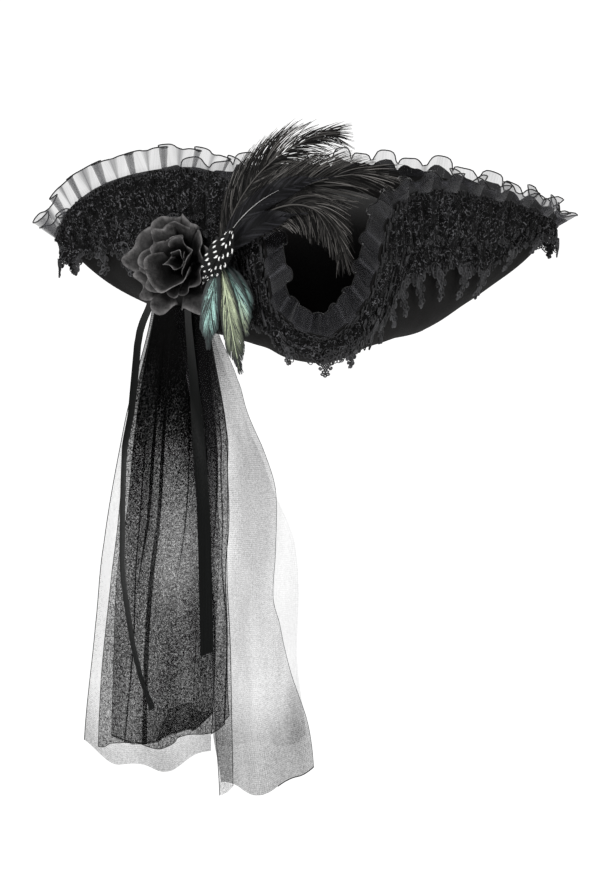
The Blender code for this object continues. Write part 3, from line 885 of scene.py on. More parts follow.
def tulle_finish(name, cover, depth, weave, tint):
    """Net: cover is how much of it is thread, depth how strong its grain is, and weave how plain its cells
    are."""
    recipe = Recipe(name, 0.8)
    base = shade(colours().tulle, tint)
    place = recipe.place()
    mesh = recipe.spread(recipe.net(recipe.place("UV"), 620, 0.15), 0.05, 0.20, weave, -weave)
    coarse = recipe.spread(recipe.noise(place, 560, 2, 0.8), 0.36, 0.64, -depth, depth)
    fine = recipe.spread(recipe.noise(place, 1250, 1), 0.36, 0.64, -depth, depth)
    cloud = recipe.spread(recipe.noise(recipe.stretched(place, (30, 30, 7)), 1, 3), 0.35, 0.65, -0.09, 0.09)
    grain = recipe.math("ADD", recipe.math("MULTIPLY", coarse, 0.6), recipe.math("MULTIPLY", fine, 0.6))
    threads = recipe.math("ADD", recipe.math("ADD", mesh, grain), recipe.math("ADD", cloud, cover))
    recipe.alpha(recipe.math("ADD", threads, recipe.tone()))
    loose = recipe.mix(recipe.spread(grain, -depth, depth), shade(base, 1.6), shade(base, 0.5))
    # Where the tone is high the net is also darker: at the gathered top this is painted shade among the gathers.
    recipe.colour(recipe.mix(recipe.spread(recipe.tone(), 0.0, 0.4), loose, shade(base, 0.04)))
    recipe.roughness(recipe.spread(grain, -depth, depth, 0.7, 0.9))
    recipe.bump(mesh, 0.0001)
    recipe.gloss(0.03)
    return recipe.material


def satin_finish():
    recipe = Recipe("black_satin", 0.32)
    base = colours().satin
    place = recipe.place("UV")
    ribs = recipe.threads(place, 900, "Y")
    warp = recipe.noise(recipe.stretched(place, (900, 12, 1)), 1, 2)
    recipe.colour(recipe.mix(warp, shade(base, 0.7), shade(base, 1.9)))
    recipe.roughness(recipe.spread(warp, 0.3, 0.7, 0.26, 0.40))
    recipe.bump(recipe.math("ADD", ribs, warp), 0.00004)
    recipe.shader.inputs["Anisotropic"].default_value = 0.5
    recipe.gloss(0.05)
    return recipe.material


def stage_finish(name, brightness, glow):
    recipe = Recipe(name, 0.9)
    cloud = recipe.noise(recipe.place(), 2, 2)
    recipe.colour(recipe.mix(cloud, (brightness,) * 3, (min(brightness * 1.02, 1.0),) * 3))
    recipe.shader.inputs["Emission Color"].default_value = (1.0, 1.0, 1.0, 1.0)
    recipe.shader.inputs["Emission Strength"].default_value = glow
    return recipe.material


# Felt


def felt_brim():
    columns = ROW_COUNT * 12
    rows = 30
    around = np.linspace(0, ROW_COUNT, columns, endpoint=False)[None, :]
    reach = np.linspace(0, 1, rows + 1)[:, None]
    around, reach = np.broadcast_arrays(around, reach)
    middle = on_net(BRIM_POINTS, around, reach)
    facing = unit(on_net(BRIM_FACINGS, around, reach))
    half = sizes().felt_thickness / 2
    turn = around / ROW_COUNT
    uneven = 0.0005 * wander(turn + 0.07 * reach, 3, 9, 16)[..., None] * ease(reach * 3)[..., None]
    outer = middle + facing * (half + uneven)
    inner = middle - facing * (half - uneven)
    edge = middle[-1:] + (middle[-1:] - middle[-2:-1]) * 0.15
    around_section = np.concatenate([outer, edge, inner[::-1]], axis=0)
    length = np.concatenate([reach[:, 0], [1.01], 1.02 + reach[:, 0]])[:, None] * 0.15
    places = np.stack(np.broadcast_arrays(turn[0][None, :] * EDGE_LENGTH, length), axis=-1)
    stock = Stock()
    stock.sheet(around_section, places, closed=True)
    # The sewn seam fills the gap between the brim's inner edge and the foot of the crown
    seam = middle[:1]
    upward = np.broadcast_to([0.0, 0.0, 1.0], seam.shape)
    stock.cords(seam, SEAM_RADIUS, upward, sides=8, closed=True)
    return stock


def felt_crown():
    columns = 120
    rings = 40
    power = 2 / CROWN_SQUARENESS
    turn = np.linspace(0, 2 * pi, columns, endpoint=False)[None, :]
    climb = np.linspace(0, pi / 2, rings + 1)[:, None]
    walls = []
    for offset in (CROWN_WALL / 2, -CROWN_WALL / 2):
        top = CROWN_HEIGHT + offset
        height = CROWN_FOOT + (top - CROWN_FOOT) * np.sin(climb) ** power
        width = np.maximum(np.cos(climb), 0.0) ** power
        width[-1] = 0.004
        across = HEAD_HALF[0] + CROWN_WALL / 2 + offset
        deep = HEAD_HALF[1] + CROWN_WALL / 2 + offset
        wall = np.stack(
            np.broadcast_arrays(across * width * np.sin(turn), -deep * width * np.cos(turn), height), axis=-1
        )
        walls.append(wall)
    outer, inner = walls
    middle = np.broadcast_to([[0, 0, CROWN_HEIGHT + CROWN_WALL / 2]], (1, columns, 3))
    under = np.broadcast_to([[0, 0, CROWN_HEIGHT - CROWN_WALL / 2]], (1, columns, 3))
    section = np.concatenate([under, inner[::-1], outer, middle], axis=0)
    places = np.stack(
        np.broadcast_arrays(turn * 0.09, np.linspace(0, 0.3, len(section))[:, None]), axis=-1
    )
    stock = Stock()
    stock.sheet(section, places, closed=True)
    return stock


# Organza ruffle


def ruffle_net(columns, rows):
    """Pleats of the ruffle. On the left panel they are flat, doubled under at each side; elsewhere they are round
    flutes whose crests stand higher than the cloth between them."""
    size = sizes()
    share = np.linspace(0, 1, rows + 1)[:, None]
    turn = np.linspace(0, 1, columns, endpoint=False)[None, :]
    turn, share = np.broadcast_arrays(turn, share)
    phase = 2 * pi * (turn * size.ruffle_pleats + 0.30 * wander(turn, 11, 5, 21))
    flat = np.exp(-(((turn * ROW_COUNT - FLAT_PLEATS_MIDDLE) / FLAT_PLEATS_REACH) ** 2))
    tilt = at_section(BRIM_VALUES[:, LEAN_COLUMN], turn * ROW_COUNT)
    ring = ease(tilt / UPRIGHT_LEAN)
    overlap = (0.30 + 0.60 * flat) * (1 - 0.40 * share) + 0.12 * wander(turn, 12, 10, 30)
    around = (phase - overlap * np.sin(2 * phase)) / (2 * pi) * ROW_COUNT / size.ruffle_pleats
    crest = np.sin(pi / 2 * np.clip((np.abs(np.sin(phase)) - 0.25) / 0.75, 0, 1)) ** 0.8
    round_part = 1 - flat
    height = size.ruffle_height * (1 + 0.12 * wander(turn, 13, 6, 26))
    height = height * (1 - 0.20 * round_part * (1 - ring))
    height = height * (1 - 0.42 * round_part * (1 - 0.75 * ring) * (1 - crest))
    swing = size.ruffle_swing * (1.1 + 0.35 * wander(turn, 14, 8, 34))
    swing = swing * (1 + 0.4 * round_part) * (1 - 0.6 * ring)
    edge = on_net(BRIM_POINTS, around, np.ones_like(around))
    below = on_net(BRIM_POINTS, around, np.full_like(around, 0.92))
    facing = unit(on_net(BRIM_FACINGS, around, np.ones_like(around)))
    lean = np.radians(at_section(BRIM_VALUES[:, LEAN_COLUMN], around))[..., None]
    up = unit(edge - below)
    rise = up * np.cos(lean) - facing * np.sin(lean)
    across = up * np.sin(lean) + facing * np.cos(lean)
    sharp = 0.6 + 1.4 * flat
    side = np.tanh(sharp * np.sin(phase)) / np.tanh(sharp)
    push = (swing * side * (0.3 + 0.7 * share))[..., None]
    climb = (height * share)[..., None]
    foot = edge - up * 0.001 + facing * 0.0009
    # Mask of the folds, where the cloth is doubled, and a little round the right point: it makes the organza
    # denser and paler, the paler colour being painted highlight.
    crease_and_painted_light = 0.5 * (1 - ease(np.abs(np.sin(phase)) / 0.55)) * (0.5 + 0.5 * flat)
    crease_and_painted_light = crease_and_painted_light + 0.22 * np.exp(-((turn * ROW_COUNT - RIGHT_POINT) ** 2))
    return foot + rise * climb + across * push, turn, share, crease_and_painted_light


def build_ruffle():
    size = sizes()
    columns = size.ruffle_pleats * 22
    net, turn, share, crease_and_painted_light = ruffle_net(columns, 6)
    length = 1.9
    net = np.concatenate([net, net[:, :1]], axis=1)
    wide = np.concatenate([turn, np.ones_like(turn[:, :1])], axis=1) * length
    tall = np.concatenate([share, share[:, :1]], axis=1) * size.ruffle_height
    stock = Stock()
    crease_and_painted_light = np.concatenate([crease_and_painted_light, crease_and_painted_light[:, :1]], axis=1)
    # Tone: denser and paler near the foot, and along the folds, where the paler colour is painted highlight.
    tone = 0.15 * (1 - ease(tall / size.ruffle_height * 3)) + crease_and_painted_light
    stock.sheet(net, np.stack([wide, tall], axis=-1), tone)
    cloth = stock.make("organza_cloth", organza_finish(), "black_organza", "organza_ruffle")
    edge = Stock()
    path = net[-1:, :-1]
    around = np.mod(turn[-1:] * ROW_COUNT, ROW_COUNT)
    facings = unit(on_net(BRIM_FACINGS, around, np.ones_like(around)))
    edge.cords(path, size.ruffle_edge, facings, closed=True)
    rolled = cord_finish("rolled_edge", EDGE_BLACK, 0.4)
    edge.make("organza_edge", rolled, "black_organza", "organza_ruffle")
    return cloth


# Lace


def lace_fall(around):
    return at_section(BRIM_VALUES[:, FALL_COLUMN], around)


def net_fall(around):
    """How far the net reaches down, furthest on the left of the front peak."""
    longer = 0.5 * np.exp(-(((np.mod(around, ROW_COUNT) - LONG_NET_MIDDLE) / 1.2) ** 2))
    return np.minimum(lace_fall(around) * (NET_FALL + longer), 0.98 * LACE_LENGTH)


def build_lace_ground():
    size = sizes()
    columns = size.lace_tucks * 12
    rows = 38
    turn = np.linspace(0, 1, columns + 1)[None, :]
    share = np.linspace(0, 1, rows + 1)[:, None]
    turn, share = np.broadcast_arrays(turn, share)
    around = turn * ROW_COUNT
    phase = 2 * pi * (turn * size.lace_tucks + 0.25 * wander(turn, 21, 7, 27))
    shirred = ease((share - 0.16) / 0.08) * (1 - ease((share - 0.50) / 0.25))
    tuck = np.abs(np.sin(phase / 2)) ** 0.6
    # Painted shade in the grooves of the tucks, passed on as the tone.
    groove_painted_shade = (1 - ease(np.abs(np.sin(phase / 2)) / 0.26)) * np.maximum(shirred, 0.30)
    loose = np.sin(phase / 3 + 4 * share) + 0.6 * wander(turn + 0.03 * share, 22, 40, 70)
    lumps = wander(turn + 0.011 * share, 23, 90, 170) * np.sin(share * 31 + 5 * wander(turn, 24, 20, 44))
    lift = size.lace_lift + 0.0030 * tuck * (0.35 + 0.65 * shirred) + 0.0010 * loose * (1 - shirred)
    lift = lift + 0.0014 * lumps * (1 - 0.6 * shirred) + 0.0035 * ease((share - 0.6) / 0.4)
    scallop = 0.006 * np.abs(np.sin(phase * size.motif_count / size.lace_tucks / 2))
    fall = 0.0005 + share * (net_fall(around) - scallop)
    net = on_lace(around, fall, np.maximum(lift, 0.0012))
    stock = Stock()
    stock.sheet(net, np.stack([turn * 1.3, fall], axis=-1), groove_painted_shade)
    return stock.make("lace_net_cloth", lace_ground_finish(), "black_lace", "lace_flounce")


def ring(centre, radii, steps, turn=0.0):
    angle = np.linspace(0, 2 * pi, steps)
    x = radii[0] * np.cos(angle)
    y = radii[1] * np.sin(angle)
    return np.stack(
        [centre[0] + x * cos(turn) - y * sin(turn), centre[1] + x * sin(turn) + y * cos(turn)], axis=1
    )


def spiral(start, radius, first, turns, steps):
    angle = first + 2 * pi * turns * np.linspace(0, 1, steps)
    reach = radius * (1 - 0.75 * np.linspace(0, 1, steps))
    return np.stack([start[0] + reach * np.cos(angle), start[1] + reach * np.sin(angle)], axis=1)


def hanging_motif():
    """Lines of one hanging motif in millimetres, across and down: a lattice lozenge between scrolls, and a
    five-petalled flower under it."""
    lines = []
    half, tall = 5.4, 8.0
    for offset in np.arange(-1, 2) * 4.4:
        for way in (1, -1):
            share = np.linspace(-1, 1, 41)
            across = way * (share * half) + offset * 0.62
            down = share * tall + 7.5
            inside = (np.abs(across) / half + np.abs(down - 7.5) / tall) <= 1.0
            if inside.sum() > 3:
                line = np.stack([across[inside], down[inside]], axis=1)
                lines.append(line)
    lozenge = np.array([(0, -0.5), (half, 7.5), (0, 15.5), (-half, 7.5), (0, -0.5)])
    lines.append(lozenge)
    for side in (1, -1):
        lines.append(spiral((side * 7.0, 5.0), 3.0, pi / 2 - side * pi / 2, side * 1.3, 40))
        lines.append(spiral((side * 5.6, 12.6), 2.2, -pi / 2, side * 1.2, 40))
        lines.append(np.array([(side * 10, 5.0), (side * 9.0, 0.5), (side * 5.0, -2.5), (0, -0.5)]))
    for petal in range(5):
        angle = pi / 2 + 2 * pi * petal / 5
        centre = (2.9 * cos(angle), 19.6 + 2.9 * sin(angle))
        lines.append(ring(centre, (2.3, 1.5), 24, angle))
    lines.append(ring((0, 19.6), (0.9, 0.9), 12))
    return lines


def small_flower(petals, reach):
    lines = []
    for petal in range(petals):
        angle = 2 * pi * petal / petals + 0.4
        lines.append(ring((reach * cos(angle), reach * sin(angle)), (reach * 0.85, reach * 0.5), 20, angle))
    lines.append(ring((0, 0), (reach * 0.35, reach * 0.35), 10))
    return lines


def leafy_scroll(way):
    stem = np.linspace(0, 1, 30)
    lines = [np.stack([way * (stem * 9 - 4.5), 2.4 * np.sin(stem * 2 * pi)], axis=1)]
    lines.append(spiral((way * 4.6, 1.6), 2.2, -pi / 2, way * 1.2, 30))
    lines.append(spiral((-way * 4.6, -1.6), 2.2, pi / 2, way * 1.2, 30))
    for along in (-0.5, 0.5):
        lines.append(ring((way * along * 5, 3.2 * along), (1.9, 0.8), 16, 0.9 * way))
    return lines


def resampled(line):
    gone = np.concatenate([[0], np.cumsum(np.linalg.norm(np.diff(line, axis=0), axis=1))])
    at = np.linspace(0, gone[-1], LINE_STEPS)
    return np.stack([np.interp(at, gone, line[:, 0]), np.interp(at, gone, line[:, 1])], axis=1)


def rows_per_metre(around):
    """How many rows of the brim go to one metre along its edge, at places round the hat."""
    step = 0.05
    ahead = on_net(LACE_POINTS, around + step, np.full_like(around, 0.3))
    back = on_net(LACE_POINTS, around - step, np.full_like(around, 0.3))
    return 2 * step / np.linalg.norm(ahead - back, axis=-1)


def lay_lines(stock, lines, arounds, falls, turns, grow, lift, radius, rng, tones):
    """Lays flat line work on the lace at many places, each turned by its own angle."""
    work = np.array([resampled(line) for line in lines]) * 0.001
    for around, fall, turn, size in zip(arounds, falls, turns, grow):
        x = work[..., 0] * size
        y = work[..., 1] * size
        across = x * cos(turn) - y * sin(turn)
        down = x * sin(turn) + y * cos(turn)
        spot = around + across * rows_per_metre(np.array(around))
        bow = 0.0012 * np.sin(down * 160 + around)
        points = on_lace(spot, fall + down, lift + bow)
        facings = unit(on_net(LACE_FACINGS, spot, (fall + down) / LACE_LENGTH))
        # Each line gets its own tone, which lights it to its own degree as painted glints.
        stock.cords(points, radius, facings, tones=rng.choice(tones, (len(points), 1)), sides=4)


def build_lace_cords():
    size = sizes()
    rng = np.random.default_rng(31)
    stock = Stock()
    count = size.motif_count
    arounds = np.arange(count) * ROW_COUNT / count + rng.uniform(-0.08, 0.08, count)
    falls = lace_fall(arounds) - 0.026 * np.minimum(lace_fall(arounds) / 0.07, 1.0)
    scale = np.clip(lace_fall(arounds) / 0.070, 0.50, 1.15)
    turns = rng.uniform(-0.12, 0.12, count)
    lay_lines(
        stock, hanging_motif(), arounds, falls, turns, scale, 0.0062, size.lace_cord * 1.5, rng,
        (0.05, 0.3, 1.0),
    )
    for row, (depth, number) in enumerate(((0.70, 2), (0.56, 2), (0.44, 2))):
        many = count * number
        arounds = (np.arange(many) + 0.5 * (row % 2)) * ROW_COUNT / many
        falls = lace_fall(arounds) * depth + rng.uniform(-0.003, 0.003, many)
        lines = small_flower(5, 1.9) if row % 2 else leafy_scroll(1)
        lay_lines(
            stock, lines, arounds, falls, rng.uniform(-1.2, 1.2, many), rng.uniform(0.8, 1.15, many), 0.0050,
            size.lace_cord * 0.85, rng, (0.0, 0.3, 0.8),
        )
    # The light colour, fourteen times the lace's own, is painted sheen on the raised cords.
    material = lace_thread_finish("lace_cord", shade(colours().lace, 0.5), shade(colours().lace, 14.0))
    return stock.make("lace_corded_motifs", material, "black_lace", "lace_flounce")


def build_lace_heading():
    """The lace's own gathered heading along the edge of the brim: small loops that stand up in a row."""
    size = sizes()
    rng = np.random.default_rng(37)
    stock = Stock()
    count = 420
    arounds = np.linspace(0, ROW_COUNT, count, endpoint=False)
    angle = np.linspace(0, 2 * pi, 12, endpoint=False)[None, :]
    reach = rng.uniform(0.0016, 0.0028, (count, 1))
    across = reach * 0.8 * np.cos(angle)
    down = 0.0012 + reach * np.sin(angle)
    spot = arounds[:, None] + across * rows_per_metre(arounds)[:, None]
    rim = on_lace(spot, np.maximum(down, 0.0), 0.0026 + 0.0012 * np.sin(arounds * 40)[:, None])
    below = on_net(BRIM_POINTS, spot, np.full_like(spot, 0.94))
    above = on_net(BRIM_POINTS, spot, np.ones_like(spot)) - below
    rim = rim + unit(above) * np.maximum(-down, 0.0)[..., None]
    facings = unit(on_net(BRIM_FACINGS, spot, np.ones_like(spot)))
    tones = rng.uniform(0, 0.7, (count, 1))
    stock.cords(rim, size.lace_cord * 0.9, facings, tones=tones, sides=4, closed=True)
    heading, turn, share, _ = ruffle_net(size.ruffle_pleats * 14, 4)
    free = 1 - np.exp(-(((turn[0] * ROW_COUNT - FLAT_PLEATS_MIDDLE) / FLAT_PLEATS_REACH) ** 2))
    tilt = at_section(BRIM_VALUES[:, LEAN_COLUMN], turn[0] * ROW_COUNT)
    free = free * (1 - ease(tilt / UPRIGHT_LEAN))
    tall = 0.05 + 0.46 * free * (1 + 0.25 * wander(turn[0], 39, 60, 120))
    heading = heading[:1] + (heading - heading[:1]) * tall[None, :, None]
    band = Stock()
    band.sheet(heading, np.stack([turn * 1.3, share * 0.01], axis=-1), 0.4, closed=True)
    # The light colours of the heading's band and loops are painted sheen, like the cords'.
    close = lace_thread_finish("close_lace", shade(colours().lace, 0.4), shade(colours().lace, 6.0))
    band.make("lace_heading_band", close, "black_lace", "lace_flounce")
    picots = 300
    arounds = np.linspace(0, ROW_COUNT, picots, endpoint=False)
    falls = net_fall(arounds) - rng.uniform(0.0, 0.005, picots)
    lay_lines(
        stock, [ring((0, 0), (1.7, 2.3), 24)], arounds, falls, rng.uniform(-0.5, 0.5, picots),
        rng.uniform(0.7, 1.3, picots), 0.0065, size.lace_cord, rng, (0.1, 0.5, 1.0),
    )
    material = lace_thread_finish("lace_heading", shade(colours().lace, 0.7), shade(colours().lace, 10.0))
    return stock.make("lace_heading_loops", material, "black_lace", "lace_flounce")


# Rose


def rose_frame():
    facing = Vector(ROSE_FACING).normalized()
    return np.array(facing.to_track_quat("Z", "Y").to_matrix())


def petal(layer, angle, grow, rng):
    """Points of one petal: it rises from the rose's middle, opens and curls at its frilled edge."""
    a = np.linspace(-1, 1, PETAL_COLUMNS + 1)[:, None]
    r = np.linspace(0, 1, PETAL_RINGS + 1)[None, :]
    a, r = np.broadcast_arrays(a, r)
    length = layer.length * rng.uniform(0.84, 1.10) * grow
    outline = 1 - 0.26 * np.abs(a) ** 3 + 0.06 * np.sin(3 * a + rng.uniform(0, 6))
    outline = outline + 0.03 * np.sin(9 * a + rng.uniform(0, 6))
    curl = layer.curl + rng.uniform(-18, 18)
    opening = np.radians(layer.opening + rng.uniform(-9, 9) + curl * r**3 * (0.55 + 0.45 * a**2))
    step = length * outline / PETAL_RINGS
    reach = layer.base + np.cumsum(np.sin(opening) * step, axis=1)
    height = layer.seat + np.cumsum(np.cos(opening) * step, axis=1)
    frill = 0.0036 * np.sin(4.5 * a + rng.uniform(0, 6)) + 0.0024 * np.sin(11 * a + rng.uniform(0, 6))
    height = height + frill * r**3
    reach = reach + 0.0016 * a + 0.0022 * np.sin(8 * a + rng.uniform(0, 6)) * r**2
    width = pi / layer.petals * layer.spread * rng.uniform(0.88, 1.15) * (0.75 + 0.25 * r)
    turn = angle + a * width
    local = np.stack([reach * np.cos(turn), reach * np.sin(turn), height], axis=-1)
    # Tone for the painted highlight towards the petal's edge; the body stays dark as painted shade.
    tone = 0.38 * ease((r - 0.50) / 0.50) + 0.62 * ease((r - 0.88) / 0.12)
    return local, np.stack([a * layer.length, r * layer.length], axis=-1), tone


def build_rose():
    turned = rose_frame()
    material = rose_finish()
    for number, layer in enumerate(ROSE_LAYERS):
        rng = np.random.default_rng(44 + number)
        stock = Stock()
        for count in range(layer.petals):
            angle = radians(layer.turn) + 2 * pi * (count + rng.uniform(-0.14, 0.14)) / layer.petals
            low = -(turned @ np.array([cos(angle), sin(angle), 0.0]))[2]
            local, places, tone = petal(layer, angle, 1 + 0.25 * max(low, 0.0), rng)
            stock.sheet(np.array(ROSE_CENTRE) + local @ turned.T, places, tone)
        piece = stock.make(layer.piece, material, "rose_cloth", layer.node)
        wall = piece.modifiers.new("cloth", "SOLIDIFY")
        wall.thickness = sizes().petal_thickness
        wall.offset = 0.0


# Feathers


def spray_point(across, height, layer):
    shift = SPRAY_LAYER * layer
    seat = across - shift * SPRAY_STACKING[0]
    depth = through(SPRAY_PLACES, SPRAY_DEPTHS, seat)
    slope = through(SPRAY_PLACES, SPRAY_SLOPES, seat)
    depth = depth + slope * (height - SPRAY_LEVEL) + shift * SPRAY_STACKING[1]
    lean = np.array(Matrix.Rotation(radians(-SPRAY_LEAN), 3, "X"))
    return np.stack(np.broadcast_arrays(across, depth, height), axis=-1) @ lean.T


SPRAY_OUT = np.array([SPRAY_STACKING[0], SPRAY_STACKING[1], 0.0]) @ np.array(
    Matrix.Rotation(radians(-SPRAY_LEAN), 3, "X")
).T


def quill_line(feather, share):
    """Places and directions on the feather's curved quill, in the spray's plane."""
    knots = [np.array(knot) for knot in feather.knots]
    points = bezier(knots, share)
    ahead = bezier(knots, np.minimum(share + 0.01, 1.0)) - bezier(knots, np.maximum(share - 0.01, 0.0))
    return points, unit(ahead)


def feather_barbs(
    stock, feather, rng, count, width_at, angle, strand, steps, bend, droop, tone, clump=1, full=1.0,
    ragged=1.0, lock=1, tip_reach=0.012
):
    """Barbs on both sides of a quill. They leave it at an angle, in degrees, and bend towards its tip. ragged
    says how uneven they are, lock how many cling together, and tip_reach how far they pass the quill's tip."""
    group = np.arange(count) // lock
    quill = np.linalg.norm(np.diff(quill_line(feather, np.linspace(0, 1, 60))[0], axis=0), axis=1).sum()
    past_tip = 1 + tip_reach / quill
    middle = (0.02 + 0.98 * (group + 0.5) * lock / count) * past_tip
    widest = feather.half_width * full
    t = np.linspace(0, 1, steps)[None, :]
    for side in (1, -1):
        for _ in range(clump):
            ends = (0.02 + 0.98 * (np.arange(count) + rng.uniform(0.1, 0.9, count)) / count) * past_tip
            stray = rng.uniform(-3, 3, count) + rng.uniform(-7, 7, group[-1] + 1)[group]
            tilt = np.radians(angle + ragged * stray)
            reach = np.minimum(widest * width_at(np.minimum(ends, 1.0)), ends * quill * np.tan(tilt))
            shares = np.clip(ends - reach / np.tan(tilt) / quill, 0.0, 0.99)
            reach = reach * (1 + ragged * rng.uniform(-0.16, 0.12, count))
            reach = reach * (1 - ease((ends - 0.8) / 0.2) * rng.uniform(0, 1, count))
            cling = 0.7 * (middle - ends) if lock > 1 else np.zeros(count)
            along = shares[:, None] + (ends - shares)[:, None] * (t + bend * t**2) / (1 + bend)
            along = along + cling[:, None] * t**2
            base, ahead = quill_line(feather, np.minimum(along, 1.0))
            across = np.stack([-ahead[..., 1], ahead[..., 0]], axis=-1) * side
            outward = reach[:, None] * (t - 0.18 * bend * t**3)
            beyond = np.maximum(along - 1.0, 0.0) * quill
            flat = base + across * outward[..., None] + ahead * beyond[..., None]
            flat[..., 1] -= droop * rng.uniform(0.5, 1.5, (count, 1)) * t**2
            points = spray_point(flat[..., 0], flat[..., 1], feather.layer)
            puff = (0.0006 + rng.uniform(0, 1, (count, 1)) * 0.12 * feather.half_width) * np.sin(pi * t * 0.8)
            points = points + SPRAY_OUT * puff[..., None]
            ahead3 = np.gradient(points, axis=1)
            sideways = unit(np.cross(ahead3, SPRAY_OUT))
            widths = strand * (1 - 0.75 * t**2) * rng.uniform(0.8, 1.2, (count, 1))
            stock.barbs(points, widths, sideways, shares, tone(rng, shares, t, count))


def feather_quill(stock, feather, thick, thin, lift, tones=0.0, steps=40, until=1.0):
    share = np.linspace(0, until, steps)
    flat, _ = quill_line(feather, share)
    path = spray_point(flat[:, 0], flat[:, 1], feather.layer) + SPRAY_OUT * lift
    facing = np.broadcast_to(SPRAY_OUT, path.shape)
    stock.cords(path[None], np.linspace(thick, thin, steps)[None], facing[None], tones, sides=6)


def plume_width(share):
    full = 0.15 + 0.85 * ease(share / 0.6)
    return full * (1 - 0.45 * ease((share - 0.8) / 0.2))


def blade_width(share):
    full = 0.3 + 0.7 * ease(share / 0.45)
    return full * (1 - 0.97 * ease((share - 0.68) / 0.32))


def cock_width(share):
    full = 0.3 + 0.7 * ease(share / 0.45)
    return full * (1 - 0.7 * ease((share - 0.76) / 0.24))


# Painted glints: whole locks and a few single barbs are lit, more towards the barbs' ends.
def plume_painted_glints(rng, shares, t, count):
    streak = 0.5 + 0.5 * wander(shares, 91, 40, 90)[:, None]
    return (1.3 * np.clip(streak, 0, 1) ** 5 + 0.9 * rng.uniform(0, 1, (count, 1)) ** 9) * (0.15 + 0.85 * t)


# Painted highlights: a few strands lit, more towards their ends.
def vane_painted_highlights(rng, shares, t, count):
    return rng.uniform(0.0, 1.0, (count, 1)) ** 3 * (0.4 + 0.6 * t)


def coque_tone(rng, shares, t, count):
    """Bright along the middle of each vane, dark at its edges, foot and tip, with a few dark splits."""
    tip = 1 - 0.75 * ease((shares - 0.60) / 0.25)[:, None]
    foot = 0.1 + 0.9 * ease(shares / 0.25)[:, None]
    streak = 0.55 + 1.1 * wander(shares, 92, 12, 60)[:, None]
    split = np.clip((streak - 0.25) / 0.30, 0.03, 1.0) * rng.uniform(0.7, 1.0, (count, 1))
    return split * tip * foot * (1 - 0.92 * ease((t - 0.55) / 0.4))


def guinea_dots(rng, shares, t, count):
    """Pale oval spots in staggered rows over dark barbs."""
    along = shares[:, None] * DOT_ROWS
    row = np.floor(along)
    across = t * 2.1 + 0.5 * (row % 2) + 0.2
    spot = ((along % 1 - 0.5) / 0.23) ** 2 + ((across % 1 - 0.5) / 0.17) ** 2
    return np.where(spot < 1.0, 1.0, 0.0)


def build_plumes():
    size = sizes()
    dark = shade(colours().ostrich, 0.2)
    # The light colour, 34 times the ostrich's own, is the colour of the painted glints.
    material = barb_finish("ostrich_barbs", dark, shade(colours().ostrich, 34.0), 0.6, 0.08, 0.0)
    for number, feather in enumerate(OSTRICH_PLUMES):
        rng = np.random.default_rng(50 + number)
        stock = Stock()
        feather_barbs(
            stock, feather, rng, size.plume_barbs, plume_width, angle=24, strand=0.00078, steps=10,
            bend=0.10, droop=0.004, tone=plume_painted_glints, clump=2, lock=PLUME_LOCK
        )
        feather_quill(stock, feather, 0.0008, 0.0003, 0.0006, tones=0.5)
        stock.make(feather.node + "_barbs", material, "ostrich_barbs", feather.node)


def build_goose():
    size = sizes()
    dark = shade(colours().goose, 0.5)
    # The light colour, seven times the goose's own, is painted highlight, on single strands and scattered as
    # flecks.
    material = barb_finish("goose_vane", dark, shade(colours().goose, 7.0), 0.5, 0.06, 0.10)
    pale = cord_finish("pale_quill", colours().quill, 0.4)
    for number, feather in enumerate(GOOSE_FEATHERS):
        rng = np.random.default_rng(60 + number)
        stock = Stock()
        feather_barbs(
            stock, feather, rng, size.vane_barbs, blade_width, angle=24, strand=0.0012, steps=6, bend=0.15,
            droop=0.0, tone=vane_painted_highlights, clump=3, ragged=0.3, tip_reach=0.006
        )
        stock.make(feather.node + "_barbs", material, "goose_vane", feather.node)
    quill = Stock()
    feather_quill(quill, GOOSE_FEATHERS[0], 0.00045, 0.00008, 0.0014, until=0.66)
    quill.make("goose_quill", pale, "goose_vane", GOOSE_FEATHERS[0].node)


def build_coque():
    size = sizes()
    teal, green = colours().teal, colours().green
    deep = shade(teal, 0.25)
    looks = {
        "coque_feather_short": (deep, teal, teal),
        "coque_feather_right": (deep, shade(teal, 1.5), shade(green, 1.9)),
        "coque_feather_long": (shade(green, 1.9), shade(green, 0.80), shade(green, 0.15)),
        "coque_feather_left": (deep, shade(teal, 2.1), shade(teal, 0.15)),
    }
    for number, feather in enumerate(COQUE_FEATHERS):
        rng = np.random.default_rng(70 + number)
        stock = Stock()
        feather_barbs(
            stock, feather, rng, size.vane_barbs, cock_width, angle=14, strand=0.0011, steps=9, bend=0.05,
            droop=0.0, tone=coque_tone, clump=3, full=1.05, ragged=0.5, tip_reach=0.003
        )
        feather_quill(stock, feather, 0.0005, 0.0002, 0.0010, tones=0.9)
        material = iridescent_finish(feather.node + "_vane", *looks[feather.node])
        stock.make(feather.node + "_barbs", material, "coque_vane", feather.node)


def build_guinea():
    rng = np.random.default_rng(80)
    stock = Stock()
    feather_barbs(
        stock, GUINEA_FEATHER, rng, 170, blade_width, angle=44, strand=0.0007, steps=24, bend=0.0,
        droop=0.0, tone=guinea_dots, full=1.25, ragged=0.2, tip_reach=0.002
    )
    feather_quill(stock, GUINEA_FEATHER, 0.0005, 0.0002, 0.0008)
    material = barb_finish("guinea_vane", GUINEA_BLACK, GUINEA_WHITE, 0.5, 0.10, 0.0)
    stock.make("guinea_feather_barbs", material, "guinea_vane", GUINEA_FEATHER.node)


# Veil and tails


